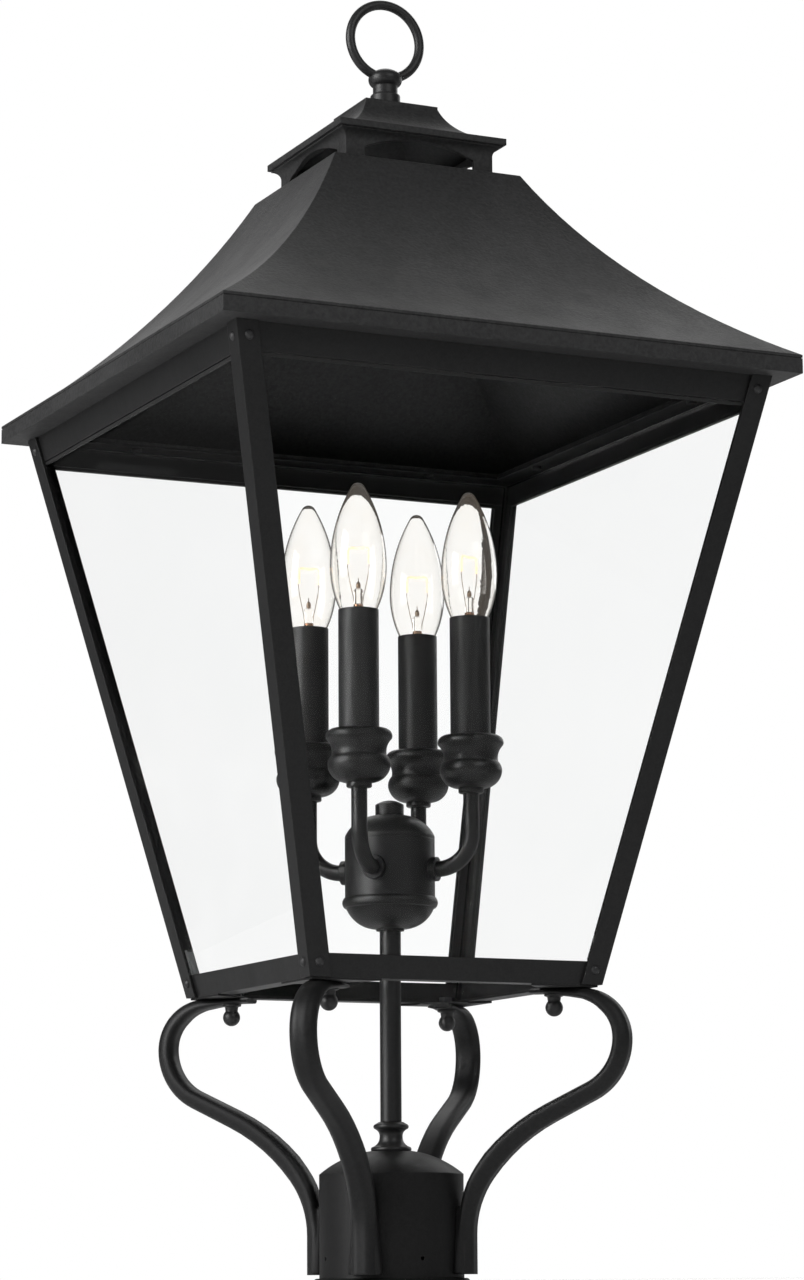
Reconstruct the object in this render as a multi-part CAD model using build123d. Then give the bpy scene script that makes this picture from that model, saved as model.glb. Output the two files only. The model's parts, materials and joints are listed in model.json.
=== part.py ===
from build123d import *
from math import asin, atan, cos, degrees, hypot, radians, sin, sqrt
import os

# Post-top lantern: a square tapered cage on a round post fitter, held by four scroll brackets,
# with a four-candle cluster inside and a vented cap and ring finial on top.
# Millimetres. Origin at the centre of the fitter's bottom rim, +Z up, the front faces -Y.

# ---------------------------------------------------------------- driving sizes
POST_DIAMETER = 76.2          # the post that the fitter slips over
POST_CLEARANCE = 0.5          # radial gap between post and fitter
FITTER_WALL = 2.6
FITTER_RIM_HEIGHT = 6.0
FITTER_RIM_PROUD = 3.3        # how far the bottom rim stands out
FITTER_BODY_HEIGHT = 58.4     # straight wall above the rim
FITTER_DOME_RISE = 13.2
PILOT_HOLE_RADIUS = 1.2
PILOT_HOLE_HEIGHT = 17.0

CAGE_BOTTOM_Z = 168.3
CAGE_HEIGHT = 342.7
CAGE_BOTTOM_HALF = 90.0       # half the outer width at the bottom
CAGE_TOP_HALF = 165.2         # half the outer width at the top
POST_LEG = 13.0               # corner angle, leg width
POST_THICK = 2.0
RAIL_THICK = 1.6
RAIL_FACE = 13.0              # height of the bottom rail's face
TOP_RAIL_FACE = 15.2
BOTTOM_FLANGE = 12.0
TOP_FLANGE = 18.0
MITRE_GAP = 0.2               # half gap between two rails at a corner
GUSSET_LEG = 42.0
GUSSET_THICK = 1.2
RIVET_RADIUS = 1.6
RIVET_HEAD_RADIUS = 2.75
RIVET_HEAD_HEIGHT = 1.7
RIVET_FROM_EDGE = 7.0

GLASS_THICK = 3.0
GLASS_GAP = 0.3               # room between glass and metal
GLASS_TOP_ROOM = 1.0          # further room above the glass, to tilt it in
STRIP_START = 4.4             # glazing strip's outer edge, in from the cage corner
STRIP_MARGIN = 0.8            # strip's inner edge, short of the post's leg
STRIP_STOP = 28.0             # height of the setting block below a side strip
STRIP_FIT = 0.03
TOP_STRIP_HEIGHT = 1.8

EAVE_OVERHANG = 12.6
EAVE_HEIGHT = 10.7
ROOF_THICK = 2.0
ROOF_RISE = 123.3
ROOF_SAG = 10.8               # how far the roof curve lies inside its chord
SHOULDER_LEDGE = 12.1         # level shoulder around the cupola
SOFFIT_WIDTH = 32.0
EAVE_GROOVE = 0.5

CUPOLA_HALF = 47.4
CUPOLA_WALL = 2.5
CUPOLA_HEIGHT = 19.6
COVE_RADIUS = 5.0
VENT_JAMB = 12.1              # solid wall beside each vent
VENT_SPRING = 9.5             # height of the vent's straight sides
VENT_RISE = 7.4

CAP_OVERHANG = 6.3
CAP_EDGE = 3.8
CAP_WALL = 2.4
PLINTH_HALF = 23.4
PLINTH_BASE = 22.7            # height of the cap's curve
PLINTH_STEP = 1.6
PLINTH_STEP_IN = 4.4

FINIAL_NECK_RADIUS = 8.95
FINIAL_NECK_HEIGHT = 9.4
FINIAL_WAIST_RADIUS = 7.4
FINIAL_BALL_RADIUS = 10.1
FINIAL_BALL_HALF_HEIGHT = 6.3
RING_WIRE_RADIUS = 2.85
RING_RADIUS = 22.7
FINIAL_ROD_RADIUS = 3.0

BRACKET_WIDTH = 15.0
BRACKET_THICK = 9.0
BRACKET_TANG = 2.8
BRACKET_STAND_OFF = 0.1       # bar clear of the fitter; the pad fills the rest
BRACKET_FOOT_GAP = 2.0        # foot above the rim
BRACKET_EDGE = 2.5            # rounding of the outer edges, under the tang's thickness
BRACKET_SWEEPS = (52.0, 105.0, 37.6, 29.0)  # outer radii: lower, upper, curl, top of curl
BRACKET_TURNS = (37.0, 26.8)  # degrees turned by the two lower sweeps
BRACKET_DRAWN_HEIGHT = 159.1  # foot to tang height that the sweeps are drawn for
TANG_BACK = 12.6              # tang's length behind the bolt
TANG_FRONT = 15.1             # flat length in front of the bolt
PAD_HEIGHT = 30.5
PAD_WIDTH = 20.0
PAD_THICK = 3.0
FOOT_SCREW_RADIUS = 2.0
BOLT_RADIUS = 2.5
BOLT_SET_BACK = 25.85         # bolt, in from the cage's inner corner
BOLT_HEAD_RADIUS = 4.6
BOLT_HEAD_HEIGHT = 3.2
BALL_NUT_RADIUS = 5.0
BALL_NUT_DROP = 8.0           # ball's middle below the tang

ROD_RADIUS = 5.0
ROD_BORE = 3.2
ROD_FIT = 0.05
STEM_CLEARANCE = 0.2          # between rod and stem tube
STEM_WALL = 0.9
COLLAR_HEIGHT = 16.4
COLLAR_BASE = 5.5             # how far base, waist and top flange stand out from the stem
COLLAR_WAIST = 0.5
COLLAR_FLANGE = 4.0
STEM_LENGTH = 109.3

CUP_RADIUS = 26.0             # cluster body
CUP_WALL = 1.8
CUP_BEAD = 1.6                # how far the bead band stands out
CUP_BOWL_RISE = 13.3
CUP_BAND_HEIGHT = 5.8
CUP_HEIGHT = 52.7
LID_RISE = 14.0
LID_WALL = 1.6
LID_SPIGOT = 4.0
KNOB_LIP = 3.25               # knob's radius over the rod's
KNOB_HEIGHT = 9.0
ARM_RADIUS = 4.6
ARM_WALL = 1.0
ARM_DROP = 18.0               # arm axis below the cup's rim
ARM_STRAIGHT = 4.0            # straight run outside the cup's wall
ARM_REACH = 50.0              # candle axis from the centre
ARM_RISE = 55.0               # arm axis up to the arm's end
ROD_NUT_WALL = 2.0
ARM_NUT_WALL = 2.4
NUT_THICK = 3.2

DRIP_CUP_FLARE = 7.4          # cup's radius over the sleeve's
DRIP_CUP_HEIGHT = 33.1
DRIP_CUP_FLOOR = 5.7          # solid floor under the sleeve
ARM_TIP = 6.5                 # arm's end above that floor
SLEEVE_CLEARANCE = 1.5        # between socket and sleeve
SLEEVE_WALL = 0.7
SLEEVE_LENGTH = 96.5
SOCKET_WALL = 3.32
SOCKET_HEIGHT = 36.0
BULB_BASE_RADIUS = 6.0
BULB_BASE_LENGTH = 20.0
BULB_FIT = 0.08
BULB_RIM_GAP = 0.26           # glass to the sleeve's rim
BULB_NECK = 4.2               # top of the glass's straight neck above the socket
BULB_COLLAR = 1.2             # top of the bulb's base above the socket
BULB_RADIUS = 16.3
BULB_BELLY = 33.0             # belly above the glass neck
BULB_TAPER = 46.4             # belly up to the tip's rounding
BULB_TIP_RADIUS = 4.0
BULB_TIP_RISE = 2.6
BULB_WALL = 0.7

# ---------------------------------------------------------------- sizes worked out from them
BORE_RADIUS = POST_DIAMETER / 2 + POST_CLEARANCE
FITTER_RADIUS = BORE_RADIUS + FITTER_WALL
SHOULDER_Z = FITTER_RIM_HEIGHT + FITTER_BODY_HEIGHT
DOME_TOP_Z = SHOULDER_Z + FITTER_DOME_RISE
CUPOLA_FLOOR = 1.5
SHOULDER_HALF = CUPOLA_HALF + SHOULDER_LEDGE
VENT_HALF = CUPOLA_HALF - VENT_JAMB
CAP_HALF = CUPOLA_HALF + CAP_OVERHANG
SLOPE = (CAGE_TOP_HALF - CAGE_BOTTOM_HALF) / CAGE_HEIGHT
LEAN = degrees(atan(SLOPE))
CAGE_TOP_Z = CAGE_BOTTOM_Z + CAGE_HEIGHT
FACE_LENGTH = CAGE_HEIGHT / cos(radians(LEAN))
LIFT = 1 / cos(radians(LEAN))  # length up the slope for each unit of height
GLASS_INSET = POST_THICK + RAIL_THICK + GLASS_GAP
GLASS_SIDE_INSET = GLASS_INSET + GLASS_THICK + GLASS_GAP
EAVE_HALF = CAGE_TOP_HALF + EAVE_OVERHANG
EAVE_TOP_Z = CAGE_TOP_Z + EAVE_HEIGHT
ROOF_TOP_Z = EAVE_TOP_Z + ROOF_RISE
CUPOLA_TOP_Z = ROOF_TOP_Z + CUPOLA_HEIGHT
CAP_TOP_Z = CUPOLA_TOP_Z + CAP_EDGE + PLINTH_BASE + 2 * PLINTH_STEP
TANG_TOP_Z = CAGE_BOTTOM_Z - GUSSET_THICK
BRACKET_CREST = FITTER_RADIUS + BRACKET_STAND_OFF + BRACKET_THICK
BOLT_CIRCLE = (CAGE_BOTTOM_HALF - POST_THICK) * sqrt(2) - BOLT_SET_BACK
TANG_END = BOLT_CIRCLE - TANG_BACK
STEM_RADIUS = ROD_RADIUS + STEM_CLEARANCE + STEM_WALL
KNOB_RADIUS = ROD_RADIUS + KNOB_LIP
ROD_NUT_RADIUS = ROD_RADIUS + ROD_NUT_WALL
ARM_NUT_RADIUS = ARM_RADIUS + ARM_NUT_WALL
ARM_BEND = ARM_REACH - CUP_RADIUS - ARM_STRAIGHT
SOCKET_RADIUS = BULB_BASE_RADIUS + BULB_FIT + SOCKET_WALL
SLEEVE_RADIUS = SOCKET_RADIUS + SLEEVE_CLEARANCE + SLEEVE_WALL
DRIP_CUP_RADIUS = SLEEVE_RADIUS + DRIP_CUP_FLARE
BULB_NECK_RADIUS = BULB_BASE_RADIUS + 0.2
COLLAR_TOP_Z = DOME_TOP_Z + COLLAR_HEIGHT
STEM_TOP_Z = COLLAR_TOP_Z + STEM_LENGTH
CUP_TOP_Z = STEM_TOP_Z + CUP_HEIGHT
ARM_Z = CUP_TOP_Z - ARM_DROP
ARM_TOP_Z = ARM_Z + ARM_RISE
DRIP_FLOOR_Z = ARM_TOP_Z - ARM_TIP
SLEEVE_TOP_Z = DRIP_FLOOR_Z + SLEEVE_LENGTH
# the glass widens up to the sleeve's rim, less a gap, which sets how deep the socket sits
BULB_SWELL = BULB_RADIUS - BULB_NECK_RADIUS
FLANK_RADIUS = (BULB_SWELL ** 2 + BULB_BELLY ** 2) / (2 * BULB_SWELL)
FLANK_OUT = SLEEVE_RADIUS - SLEEVE_WALL - BULB_RIM_GAP - BULB_RADIUS + FLANK_RADIUS
SOCKET_DROP = BULB_NECK + BULB_BELLY - sqrt(FLANK_RADIUS ** 2 - FLANK_OUT ** 2)
SOCKET_TOP_Z = SLEEVE_TOP_Z - SOCKET_DROP
LID_TOP_Z = CUP_TOP_Z + LID_RISE

QUARTERS = {"front_right": 0, "back_right": 90, "back_left": 180, "front_left": 270}
SIDES = {"front": 0, "right": 90, "back": 180, "left": 270}
DIAGONAL = -45                # the front right corner's direction


def save(name, shape):
    """Write one node's STEP."""
    shape.label = name
    export_step(shape, "parts/" + name + ".step")


def cage_half(z):
    return CAGE_BOTTOM_HALF + SLOPE * (z - CAGE_BOTTOM_Z)


def turned(points_and_arcs):
    """Solid of revolution about Z from a list of edges in the XZ plane."""
    face = make_face(points_and_arcs)
    return revolve(Plane.XZ * face, Axis.Z)


def ring(outer, inner, low, high):
    """Tube about Z between two heights; no bore when inner is 0."""
    tube = Pos(0, 0, (low + high) / 2) * Cylinder(outer, high - low)
    if inner:
        tube -= Pos(0, 0, (low + high) / 2) * Cylinder(inner, high - low)
    return tube


def square(half, low, high):
    return Pos(0, 0, (low + high) / 2) * Box(2 * half, 2 * half, high - low)


def hex_nut(radius, bore, low, high):
    prism = extrude(Plane.XY.offset(low) * RegularPolygon(radius, 6), high - low)
    return prism - Pos(0, 0, (low + high) / 2) * Cylinder(bore, high - low)


def chain(start, heading, steps):
    """Edges of a path drawn step by step: a length, or (radius, turn in degrees)."""
    x, y = start
    angle = radians(heading)
    edges = []
    for step in steps:
        if isinstance(step, tuple):
            radius, turn = step[0], radians(step[1])
            side = 1 if turn > 0 else -1
            cx, cy = x - side * radius * sin(angle), y + side * radius * cos(angle)
            middle, end = angle + turn / 2, angle + turn
            mid = (cx + side * radius * sin(middle), cy - side * radius * cos(middle))
            stop = (cx + side * radius * sin(end), cy - side * radius * cos(end))
            edges.append(ThreePointArc((x, y), mid, stop))
            angle = end
        else:
            stop = (x + step * cos(angle), y + step * sin(angle))
            edges.append(Line((x, y), stop))
        x, y = stop
    return edges, (x, y)


def dome(radius, low, high):
    """Arc of a cap centred on the axis, from (radius, low) to the axis at height high."""
    rise = high - low
    sphere = (radius * radius + rise * rise) / (2 * rise)
    half = asin(radius / sphere) / 2
    middle = (sphere * sin(half), high - sphere + sphere * cos(half))
    return ThreePointArc((radius, low), middle, (0, high))


def face_plane():
    """Plane of the front face: origin mid bottom edge, y up the slope, z outwards."""
    lean = radians(LEAN)
    return Plane(origin=(0, -CAGE_BOTTOM_HALF, CAGE_BOTTOM_Z), x_dir=(1, 0, 0),
                 z_dir=(0, -cos(lean), -sin(lean)))


# ---------------------------------------------------------------- post fitter and brackets
def post_fitter():
    """Casting that slips over the post: rim, straight wall and domed top, with pilot holes for set screws."""
    rim, flat = FITTER_RADIUS + FITTER_RIM_PROUD, 0.28 * FITTER_RADIUS
    crown = ROD_RADIUS + ROD_FIT
    inner_top, ceiling = DOME_TOP_Z - FITTER_WALL, SHOULDER_Z - FITTER_WALL
    bulge = SHOULDER_Z + 0.72 * FITTER_DOME_RISE
    top = FITTER_RIM_HEIGHT
    outline = [
        Line((BORE_RADIUS, 0), (rim - 1, 0)),
        Line((rim - 1, 0), (rim, 1)),
        Line((rim, 1), (rim, top - 2)),
        ThreePointArc((rim, top - 2), (rim - 0.6, top - 0.6), (rim - 2, top)),
        Line((rim - 2, top), (FITTER_RADIUS, top)),
        Line((FITTER_RADIUS, top), (FITTER_RADIUS, SHOULDER_Z)),
        ThreePointArc((FITTER_RADIUS, SHOULDER_Z), (0.62 * FITTER_RADIUS, bulge), (flat, DOME_TOP_Z)),
        Line((flat, DOME_TOP_Z), (crown, DOME_TOP_Z)),
        Line((crown, DOME_TOP_Z), (crown, inner_top)),
        Line((crown, inner_top), (flat, inner_top)),
        ThreePointArc((flat, inner_top), (0.60 * FITTER_RADIUS, bulge - FITTER_WALL),
                      (BORE_RADIUS - 3, ceiling)),
        Line((BORE_RADIUS - 3, ceiling), (BORE_RADIUS, ceiling)),
        Line((BORE_RADIUS, ceiling), (BORE_RADIUS, 0)),
    ]
    fitter = turned(outline)
    pilot = Rot(90, 0, 0) * Cylinder(PILOT_HOLE_RADIUS, 4 * FITTER_WALL)
    for angle in SIDES.values():
        fitter -= Rot(0, 0, angle) * Pos(0, -BORE_RADIUS, PILOT_HOLE_HEIGHT) * pilot
    for angle in QUARTERS.values():
        for z in foot_screw_heights():
            fitter -= place_foot_screw(angle, z) * foot_screw(ROD_FIT)
    return fitter


def foot_screw_heights():
    low = FITTER_RIM_HEIGHT + BRACKET_FOOT_GAP
    return [low + 6, low + 20]


def place_foot_screw(angle, z):
    """Axis along the diagonal, pointing outwards from the bore."""
    return Rot(0, 0, DIAGONAL + angle) * Pos(BORE_RADIUS + 0.1, 0, z) * Rot(0, 90, 0)


def foot_screw(growth=0.0):
    """Countersunk screw along +Z, its head flush with the bore."""
    r = FOOT_SCREW_RADIUS + growth
    head = Pos(0, 0, 1) * Cone(2 * r, r, 2)
    shank = Pos(0, 0, 4.2) * Cylinder(r, 6.4 + growth)
    return head + shank


def foot_screws():
    heights = foot_screw_heights()
    return [place_foot_screw(a, z) * foot_screw() for a in QUARTERS.values() for z in heights]


def bracket_line(crest, foot_z, straight, slant_run, radii, turns):
    """One side of the bracket's bar: foot, two sweeps out, a slanted run and the curl back."""
    slant = 90 - turns[0] - turns[1]
    steps = [straight, (radii[0], -turns[0]), (radii[1], -turns[1]), slant_run]
    bar, joint = chain((crest, foot_z), 90, [step for step in steps if step])
    curl, end = chain(joint, slant, [(radii[2], 90 - slant), (radii[3], 90)])
    return bar + curl, end


def scroll_bracket():
    """Bracket in the XZ plane, +X outwards: foot, two sweeps out, a curl back and a flat tang."""
    foot_z = FITTER_RIM_HEIGHT + BRACKET_FOOT_GAP
    scale = (TANG_TOP_Z - foot_z) / BRACKET_DRAWN_HEIGHT
    lower_r, upper_r, curl_low, curl_top = (scale * r for r in BRACKET_SWEEPS)
    turns = BRACKET_TURNS
    slant = radians(90 - sum(turns))
    # the slanted run sets the reach, and the foot's straight run then sets the height
    outer_radii = (lower_r, upper_r, curl_low, curl_top)
    bare_crest = bracket_line(BRACKET_CREST, foot_z, 0, 0, outer_radii, turns)[1]
    slant_run = (BOLT_CIRCLE + TANG_FRONT - bare_crest[0]) / cos(slant)
    straight = TANG_TOP_Z - bare_crest[1] - slant_run * sin(slant)
    outer, crest = bracket_line(BRACKET_CREST, foot_z, straight, slant_run, outer_radii, turns)
    inner_start = BRACKET_CREST - BRACKET_THICK
    inner_radii = (lower_r + BRACKET_THICK, upper_r + BRACKET_THICK,
                   curl_low - BRACKET_THICK - 1.2, curl_top - BRACKET_TANG - 1.7)
    bare_inner = bracket_line(inner_start, foot_z, straight, 0, inner_radii, turns)[1]
    inner_run = (TANG_TOP_Z - BRACKET_TANG - bare_inner[1]) / sin(slant)
    inner, inner_crest = bracket_line(inner_start, foot_z, straight, inner_run, inner_radii, turns)
    under = (TANG_END, TANG_TOP_Z - BRACKET_TANG)
    tang_end = (TANG_END, TANG_TOP_Z)
    tang = [Line(crest, tang_end), Line(tang_end, under), Line(under, inner_crest)]
    foot = Line((inner_start, foot_z), (BRACKET_CREST, foot_z))
    blank = extrude(Plane.XZ * make_face(outer + tang + inner + [foot]), BRACKET_WIDTH / 2, both=True)
    long_edges = [e for e in blank.edges() if abs(abs(e.center().Y) - BRACKET_WIDTH / 2) < 0.01]
    blank = fillet([e for e in long_edges if is_outer(e, outer)], BRACKET_EDGE)
    reach = FITTER_RADIUS + PAD_THICK
    pad = Pos(reach - 2.5, 0, foot_z + PAD_HEIGHT / 2) * Box(5, PAD_WIDTH, PAD_HEIGHT)
    bracket = blank + pad
    bracket -= Pos(0, 0, DOME_TOP_Z / 2) * Cylinder(FITTER_RADIUS + STRIP_FIT, 2 * DOME_TOP_Z)
    bracket -= Pos(BOLT_CIRCLE, 0, TANG_TOP_Z) * Cylinder(BOLT_RADIUS + ROD_FIT, 4 * BRACKET_TANG)
    for z in foot_screw_heights():
        bracket -= Pos(BORE_RADIUS + 0.1, 0, z) * Rot(0, 90, 0) * foot_screw(ROD_FIT)
    return bracket


def is_outer(edge, outline):
    """True when an edge of the blank lies above or below one of the outline's edges."""
    middle = edge @ 0.5
    return any((Vector(middle.X, middle.Z) - (part @ 0.5)).length < 0.01 for part in outline)


def corner_gussets():
    """Corner plates under the rails, with a bowed inner edge."""
    plates = []
    corner = CAGE_BOTTOM_HALF - POST_THICK
    reach = corner - GUSSET_LEG
    middle = corner - 0.56 * GUSSET_LEG
    for angle in QUARTERS.values():
        outline = [Line((corner, -corner), (corner, -reach)),
                   ThreePointArc((corner, -reach), (middle, -middle), (reach, -corner)),
                   Line((reach, -corner), (corner, -corner))]
        plate = extrude(Plane.XY.offset(TANG_TOP_Z) * make_face(outline), GUSSET_THICK)
        diagonal = BOLT_CIRCLE / sqrt(2)
        plate -= Pos(diagonal, -diagonal, TANG_TOP_Z) * Cylinder(BOLT_RADIUS + ROD_FIT, 4 * GUSSET_THICK)
        plates.append(Rot(0, 0, angle) * plate)
    return plates


def bracket_bolts():
    """Hex bolts down through gusset and tang, heads inside the cage."""
    low = TANG_TOP_Z - BRACKET_TANG - 7
    bolts = []
    for angle in QUARTERS.values():
        head = extrude(Plane.XY.offset(CAGE_BOTTOM_Z) * RegularPolygon(BOLT_HEAD_RADIUS, 6), BOLT_HEAD_HEIGHT)
        bolt = head + ring(BOLT_RADIUS, 0, low, CAGE_BOTTOM_Z + 1)
        bolts.append(Rot(0, 0, DIAGONAL + angle) * Pos(BOLT_CIRCLE, 0, 0) * bolt)
    return bolts


def ball_nuts():
    """Ball-ended nuts with a stepped flange under each tang."""
    top = TANG_TOP_Z - BRACKET_TANG
    r, middle = BALL_NUT_RADIUS, top - BALL_NUT_DROP
    flange, waist = r + 0.6, r - 1.4
    neck = middle + sqrt(r * r - waist * waist)
    outline = [Line((0, top), (flange, top)), Line((flange, top), (flange, top - 1.4)),
               Line((flange, top - 1.4), (waist + 0.3, top - 2.0)),
               Line((waist + 0.3, top - 2.0), (waist, top - 4.2)), Line((waist, top - 4.2), (waist, neck)),
               ThreePointArc((waist, neck), (r, middle), (0, middle - r)),
               Line((0, middle - r), (0, top))]
    nut = turned(outline) - Pos(0, 0, top - 3.55) * Cylinder(BOLT_RADIUS + ROD_FIT, 7.3)
    return [Rot(0, 0, DIAGONAL + a) * Pos(BOLT_CIRCLE, 0, 0) * nut for a in QUARTERS.values()]


# ---------------------------------------------------------------- cage
def post_section(z):
    """Angle section of the front right post at one height."""
    a = cage_half(z)
    inner = a - POST_THICK
    leg = a - POST_LEG
    points = [(a, -a), (leg, -a), (leg, -inner), (inner, -inner), (inner, -leg), (a, -leg)]
    return Plane.XY.offset(z) * make_face(Polyline(*points, close=True))


def rivet_places():
    """Rivet centres on the front face as (x, y) in the face plane."""
    low = 0.62 * RAIL_FACE * LIFT
    high = FACE_LENGTH - 0.52 * TOP_RAIL_FACE * LIFT
    places = []
    for up in (low, high):
        half = CAGE_BOTTOM_HALF + sin(radians(LEAN)) * up - RIVET_FROM_EDGE
        places += [(half, up), (-half, up)]
    return places


def rivet_holes():
    """Clearance cylinders through both legs and rails of the front face."""
    radius = RIVET_RADIUS + ROD_FIT
    return [face_plane() * Pos(x, y, 0) * Cylinder(radius, 8) for x, y in rivet_places()]


def corner_post():
    post = loft([post_section(CAGE_BOTTOM_Z), post_section(CAGE_TOP_Z)], ruled=True)
    for hole in rivet_holes():
        post -= hole
        post -= Rot(0, 0, 90) * hole
    return post


def strip_section(z, inset, depth):
    """Mitred strip of the front side at one height."""
    near = cage_half(z) - inset
    far = near - depth
    cut = near - MITRE_GAP
    cut_far = far - MITRE_GAP
    return Plane.XY.offset(z) * make_face(Polyline((-cut, -near), (cut, -near), (cut_far, -far),
                                                   (-cut_far, -far), close=True))


def rail(low, high, flange_low, flange_depth):
    """Rail behind the posts' front legs: a sloped face and a level flange."""
    face = loft([strip_section(low, POST_THICK, RAIL_THICK), strip_section(high, POST_THICK, RAIL_THICK)],
                ruled=True)
    ledge_high = flange_low + RAIL_THICK
    ledge = loft([strip_section(flange_low, POST_THICK, flange_depth),
                  strip_section(ledge_high, POST_THICK, flange_depth)], ruled=True)
    whole = face + ledge
    for hole in rivet_holes():
        whole -= hole
    return whole


def bottom_rail():
    return rail(CAGE_BOTTOM_Z, CAGE_BOTTOM_Z + RAIL_FACE, CAGE_BOTTOM_Z, BOTTOM_FLANGE)


def top_rail():
    whole = rail(CAGE_TOP_Z - TOP_RAIL_FACE, CAGE_TOP_Z, CAGE_TOP_Z - RAIL_THICK, TOP_FLANGE)
    for x in eave_screw_places():
        whole -= Pos(x, -eave_screw_line(), CAGE_TOP_Z) * Cylinder(RIVET_RADIUS + ROD_FIT, 6)
    return whole


def eave_screw_places():
    return [-0.6 * CAGE_TOP_HALF, 0.6 * CAGE_TOP_HALF]


def eave_screw_line():
    """Distance of the eave screws from the lantern's middle."""
    return CAGE_TOP_HALF - POST_THICK - TOP_FLANGE + 4.5


def eave_screws():
    """Pan head screws up through the top rails' flanges into the soffit."""
    under = CAGE_TOP_Z - RAIL_THICK
    reach = CAGE_TOP_Z + ROOF_THICK
    screw = ring(2 * RIVET_RADIUS, 0, under - 2, under) + ring(RIVET_RADIUS, 0, under - 1, reach)
    return [Rot(0, 0, a) * Pos(x, -eave_screw_line(), 0) * screw
            for a in SIDES.values() for x in eave_screw_places()]


def cage_rivets():
    """Domed rivets through posts and rails, two per leg end."""
    rise = RIVET_HEAD_HEIGHT
    outline = [Line((0, 0), (RIVET_HEAD_RADIUS, 0)), dome(RIVET_HEAD_RADIUS, 0, rise),
               Line((0, rise), (0, 0))]
    grip = POST_THICK + RAIL_THICK - 0.4
    shank = Pos(0, 0, -grip / 2) * Cylinder(RIVET_RADIUS, grip)
    rivet = turned(outline) + shank
    front = [face_plane() * Pos(x, y, 0) * rivet for x, y in rivet_places()]
    return [Rot(0, 0, a) * each for a in SIDES.values() for each in front]


def face_band(side_inset, low, high):
    """Outline on the front face, in from the cage's corners by side_inset, between two distances up it."""
    grow = sin(radians(LEAN))
    half_low = CAGE_BOTTOM_HALF + grow * low - side_inset
    half_high = CAGE_BOTTOM_HALF + grow * high - side_inset
    return Polyline((-half_low, low), (half_low, low), (half_high, high), (-half_high, high), close=True)


def slab(outline, shallow, deep):
    """Slab behind the front face between two depths."""
    return extrude(face_plane().offset(-shallow) * make_face(outline), shallow - deep)


def glass_span():
    """Lower and upper edge of the glass, up the slope, clear of the rails' flanges."""
    drop = sin(radians(LEAN))
    low = (RAIL_THICK + GLASS_GAP - drop * GLASS_INSET) * LIFT
    high = (CAGE_HEIGHT - RAIL_THICK - GLASS_GAP - drop * (GLASS_INSET + GLASS_THICK)) * LIFT
    return low, high - GLASS_TOP_ROOM


def glass_panel():
    low, high = glass_span()
    return slab(face_band(GLASS_SIDE_INSET, low, high), GLASS_INSET, GLASS_INSET + GLASS_THICK)


def side_pads(low, high):
    """Two pads between the posts' legs and the glass of the front side, between two distances up it."""
    shallow, deep = POST_THICK / LIFT + STRIP_FIT, GLASS_INSET - STRIP_FIT
    pads = slab(face_band(STRIP_START, low, high), shallow, deep)
    pads -= slab(face_band(POST_LEG - STRIP_MARGIN, low - 1, high + 1), shallow - 1, deep + 1)
    return pads.solids()


def glazing_strips():
    """Rubber strips between frame and glass: one up each post's leg and one under each top rail."""
    drop = sin(radians(LEAN)) * GLASS_INSET
    under_rail = (CAGE_HEIGHT - TOP_RAIL_FACE - GLASS_GAP - drop) * LIFT
    strips = side_pads(STRIP_STOP, under_rail - TOP_STRIP_HEIGHT - GLASS_GAP)
    top = face_band(STRIP_START, under_rail - TOP_STRIP_HEIGHT, under_rail)
    strips += slab(top, POST_THICK / LIFT + STRIP_FIT, GLASS_INSET - STRIP_FIT).solids()
    return [Rot(0, 0, a) * strip for a in SIDES.values() for strip in strips]


def setting_blocks():
    """Clear blocks below the side strips, which keep the glass off the bottom rails."""
    blocks = side_pads(RAIL_FACE * LIFT + GLASS_GAP, STRIP_STOP - GLASS_GAP)
    return [Rot(0, 0, a) * block for a in SIDES.values() for block in blocks]


# ---------------------------------------------------------------- roof and cupola
def roof_curve(half_low, z_low, half_high, z_high, sag):
    """Concave arc from the eave to the shoulder."""
    run, rise = half_low - half_high, z_high - z_low
    chord = hypot(run, rise)
    mid = ((half_low + half_high) / 2 - sag * rise / chord, (z_low + z_high) / 2 - sag * run / chord)
    return ThreePointArc((half_low, z_low), mid, (half_high, z_high))


def four_sided(right_half_outline, width):
    """Hipped solid whose section across X and across Y is the same mirrored outline."""
    half_face = make_face(right_half_outline)
    section = half_face + mirror(half_face, Plane.YZ)
    along_y = extrude(Plane.XZ * section, width, both=True)
    along_x = Rot(0, 0, 90) * along_y
    return along_y & along_x


def roof_body(half, low, band_top, shoulder, top):
    outline = [Line((0, low), (half, low)), Line((half, low), (half, band_top)),
               roof_curve(half, band_top, shoulder, top, ROOF_SAG), Line((shoulder, top), (0, top)),
               Line((0, top), (0, low))]
    return four_sided(outline, 2 * EAVE_HALF)


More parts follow.
